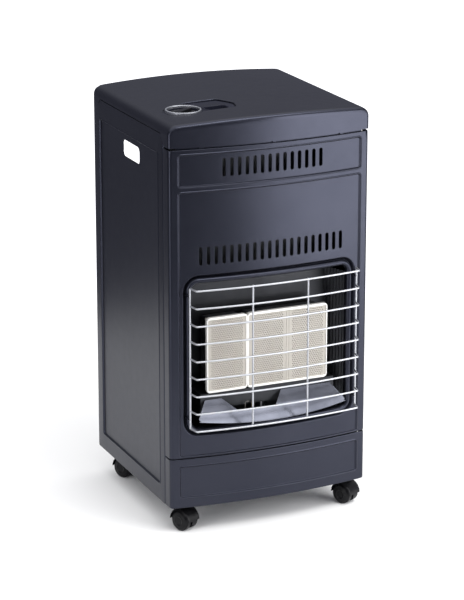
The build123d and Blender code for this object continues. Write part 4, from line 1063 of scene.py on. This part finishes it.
# %% Ceramic plaques
plaque_y, plaque_deep, plaque_round = burner_y + 1.5 * MM, 13 * MM, 0.8 * MM
hole_pitch, hole_size, hole_deep = 4.4 * MM, 1.3 * MM, 2.4 * MM
hole_sides = 6


def plaque(name, middle):
    """A ceramic plaque with its drilled holes."""
    line = ((middle, burner_z), (plaque_wide - 0.2 * MM, plaque_tall - 0.2 * MM), 1 * MM)
    row_pitch = hole_pitch * math.sqrt(3) / 2
    rows, columns = int(plaque_tall / row_pitch / 2) - 1, int(plaque_wide / hole_pitch / 2) - 1
    centres = [
        (middle + (i + 0.5 * (j % 2)) * hole_pitch, burner_z + j * row_pitch)
        for j in range(-rows, rows + 1)
        for i in range(-columns, columns + 1 - j % 2)
    ]
    loops, deep = [], []
    for reach, down in ((hole_size, 0), (0.75 * hole_size, hole_deep)):
        loops += [circle_loop(centre, reach, hole_sides, 0.5) for centre in centres]
        deep += [down] * hole_sides * len(centres)
    for grow, down in ((0, plaque_round), (-plaque_round, 0)):
        loops.append(rounded_loop(*line, grow=grow, turns=2))
        deep += [down] * len(loops[-1])
    flat, faces = fill(loops)
    points = [(x, plaque_y + down, z) for (x, z), down in zip(flat, deep)]
    polygons = [tuple(f) for f in faces.tolist()]
    size, base = len(loops[-2]), len(points)
    first = base - 2 * size
    points += [(x, plaque_y + plaque_deep, z) for x, z in loops[-2]]
    for i in range(size):
        k = (i + 1) % size
        polygons.append((first + k, first + i, base + i, base + k))
    polygons.append(tuple(range(base, base + size))[::-1])
    return mesh_piece(name, points, polygons, crease=35)


for name, step in thirds:
    tile = plaque(f"drilled_plaque_{name}", step * plaque_pitch)
    dress(tile, "ceramic", f"plaque_{name}")

# %% [markdown]
# ## Apron
# A polished apron leans forward below the burners. It is folded once along its
# width, bowed along its front edge, and notched in the middle so that the pilot
# flame can be seen. Its drawing runs along x and down the folded section.

# %% Apron
apron_section = np.array([(5.4, 257), (-9.8, 236.5), (-30.5, 212.5)]) * MM
apron_steps = np.linalg.norm(np.diff(apron_section, axis=0), axis=1)
apron_along = np.concatenate([[0], np.cumsum(apron_steps)])
apron_fold, apron_bend = apron_along[1], 3 * MM


def apron_place(flat, deep):
    """The folded apron, pushed in along its own normal."""
    y, z = (np.interp(flat[:, 1], apron_along, apron_section[:, i]) for i in (0, 1))
    past = np.maximum(flat[:, 1] - apron_along[-1], 0)
    slopes = np.diff(apron_section, axis=0) / apron_steps[:, None]
    down = slopes[np.where(flat[:, 1] < apron_fold, 0, 1)]
    y = y + past * down[:, 0] + front_y - down[:, 1] * deep
    return np.column_stack([flat[:, 0], y, z + past * down[:, 1] + down[:, 0] * deep])


def apron_front(x):
    """How far down the section the bowed front edge lies at x."""
    y = -30 * MM + 11 * MM * (x / (153 * MM)) ** 2
    return np.interp(-y, -apron_section[:, 0], apron_along)


front_edge = [(x, float(apron_front(x))) for x in np.linspace(150, -150, 61) * MM]
apron_line = [
    (-153, 41.5), (-128, 0), (-95, 0), (-68, 28.5), (8, 29.5), (26, 0), (128, 0), (153, 41.5)
]
apron_line = [(x * MM, v * MM, 0) for x, v in apron_line]
apron_line = bent([(*front_edge[-1], 0)] + apron_line + [(*front_edge[0], 0)], apron_bend, 5)
apron_loop = [(x, v) for x, v, _ in apron_line[:-1]] + front_edge[:-1]
apron_outline = np.array(apron_loop)
apron_rows = [0, apron_fold, apron_fold - 1 * MM, apron_fold + 1 * MM]
apron_rows += [v * MM for v in (10, 17, 31, 38, 45)]
apron_spots = [(x * MM, v) for x in np.arange(-148, 149, 4) for v in apron_rows]


def in_apron(points):
    """Whether points lie inside the apron's outline, by counting its crossings."""
    x, y = points[:, 0][:, None], points[:, 1][:, None]
    ax, ay = apron_outline.T
    bx, by = np.roll(apron_outline, -1, axis=0).T
    crosses = (ay > y) != (by > y)
    reach = ax + (y - ay) / np.where(by == ay, 1e-12, by - ay) * (bx - ax)
    return np.sum(crosses & (x < reach), axis=1) % 2 == 1


apron = skin(
    "folded_apron", [apron_loop], lambda flat: np.zeros(len(flat)), apron_place,
    is_hole=lambda flat: ~in_apron(flat), spots=kept(apron_spots, in_apron)
)
dress(apron, "polished_steel", "reflector")

# %% [markdown]
# ## Camera
# The photograph was taken from the front left, a little above the lid. Its
# place, turn and lens were worked out from the cabinet's straight edges. The
# picture is upright, so Blender's long side of the sensor is the height.

# %% Camera
photo_height = 600
focal_pixels = 2472.5
turn_right = 23.87
look_down = 15.91
lens_centre_up = 60

camera_data = bpy.data.cameras.new("photo_camera")
camera_data.sensor_width = 36
camera_data.lens = focal_pixels / photo_height * camera_data.sensor_width
camera_data.shift_y = -lens_centre_up / photo_height
camera_data.clip_end = 100
camera = bpy.data.objects.new("photo_camera", camera_data)
camera.location = (-1.8266, -4.1167, 1.7938)
camera.rotation_euler = (math.radians(90 - look_down), 0, math.radians(-turn_right))
bpy.context.scene.collection.objects.link(camera)
bpy.context.scene.camera = camera
print("lens", round(camera_data.lens, 2), "mm")

# %% [markdown]
# ## Floor and light
# The heater stands on a round, pale studio floor. The sky is dim near the
# horizon and bright overhead, with a white patch behind the heater. Painted
# sheet is a weak mirror, so what counts is where each light stands: a soft box
# low on the right gives the front its light upper right, a narrow one on the
# left draws the line down the corner, and a wide one above the front catches
# every edge and bead that is turned upwards.

# %% Floor
floor_reach = 1.25
floor_rim = [(x, y, 0) for x, y in circle_loop((0, 0), floor_reach, 96)]
floor = mesh_piece("floor", floor_rim, [tuple(range(len(floor_rim)))])

floor_paint, floor_tree, floor_shader, floor_place = new_finish("studio_floor")
floor_tint = ramp(floor_tree, noise(floor_tree, floor_place, 2, 2), [(0.3, 0.90), (0.7, 0.92)])
floor_tree.links.new(floor_tint, floor_shader.inputs["Base Color"])
floor_shader.inputs["Roughness"].default_value = 0.9
floor.data.materials.append(floor_paint)
print("floor", 2 * floor_reach, "m wide")

# %% Sky
scene = bpy.context.scene
scene.view_settings.view_transform = "Standard"
world = bpy.data.worlds.new("studio")
world.use_nodes = True
scene.world = world
sky = world.node_tree
way = sky.nodes.new("ShaderNodeTexCoord").outputs["Generated"]
up = node(sky, "ShaderNodeSeparateXYZ", Vector=way).outputs["Z"]
height = node(sky, "ShaderNodeMapRange", Value=up, From_Min=-1.0, From_Max=1.0)
low_sky = (0.078, 0.080, 0.101)
sky_stops = [(0, low_sky), (0.70, low_sky), (0.88, 0.7), (1, 1)]
overhead = ramp(sky, height.outputs["Result"], sky_stops)
patch_way = Vector((0.388, 0.875, -0.29)).normalized()
facing_patch = node(sky, "ShaderNodeVectorMath", operation="DOT_PRODUCT", Vector=way)
facing_patch.inputs[1].default_value = patch_way
near_patch = facing_patch.outputs["Value"]
patch = node(
    sky, "ShaderNodeMapRange", Value=near_patch, From_Min=0.962, From_Max=0.982, To_Max=0.60
).outputs["Result"]
both = node(sky, "ShaderNodeMixRGB", blend_type="ADD", Fac=1.0, Color1=overhead, Color2=patch)
sky.links.new(both.outputs["Color"], sky.nodes["Background"].inputs["Color"])
sky.nodes["Background"].inputs["Strength"].default_value = 2.15
print("sky nodes", len(sky.nodes))

# %% Soft boxes


def soft_box(name, place, target, size, power):
    """A rectangular area light that faces a target."""
    data = bpy.data.lights.new(name, "AREA")
    data.shape = "RECTANGLE"
    data.size, data.size_y = size
    data.energy = power
    lamp = bpy.data.objects.new(name, data)
    lamp.location = place
    aim = Vector(target) - Vector(place)
    lamp.rotation_euler = aim.to_track_quat("-Z", "Y").to_euler()
    bpy.context.scene.collection.objects.link(lamp)


soft_box("right_box", (0.97, -1.17, 0.52), (0, -0.16, 0.52), (1.2, 1.0), 22)
soft_box("left_strip", (-1.5, -0.75, 0.55), (-0.2, -0.16, 0.55), (0.25, 1.1), 8)
soft_box("edge_box", (0.81, -1.98, 3.15), (0, -0.16, 0.60), (2.0, 0.85), 50)
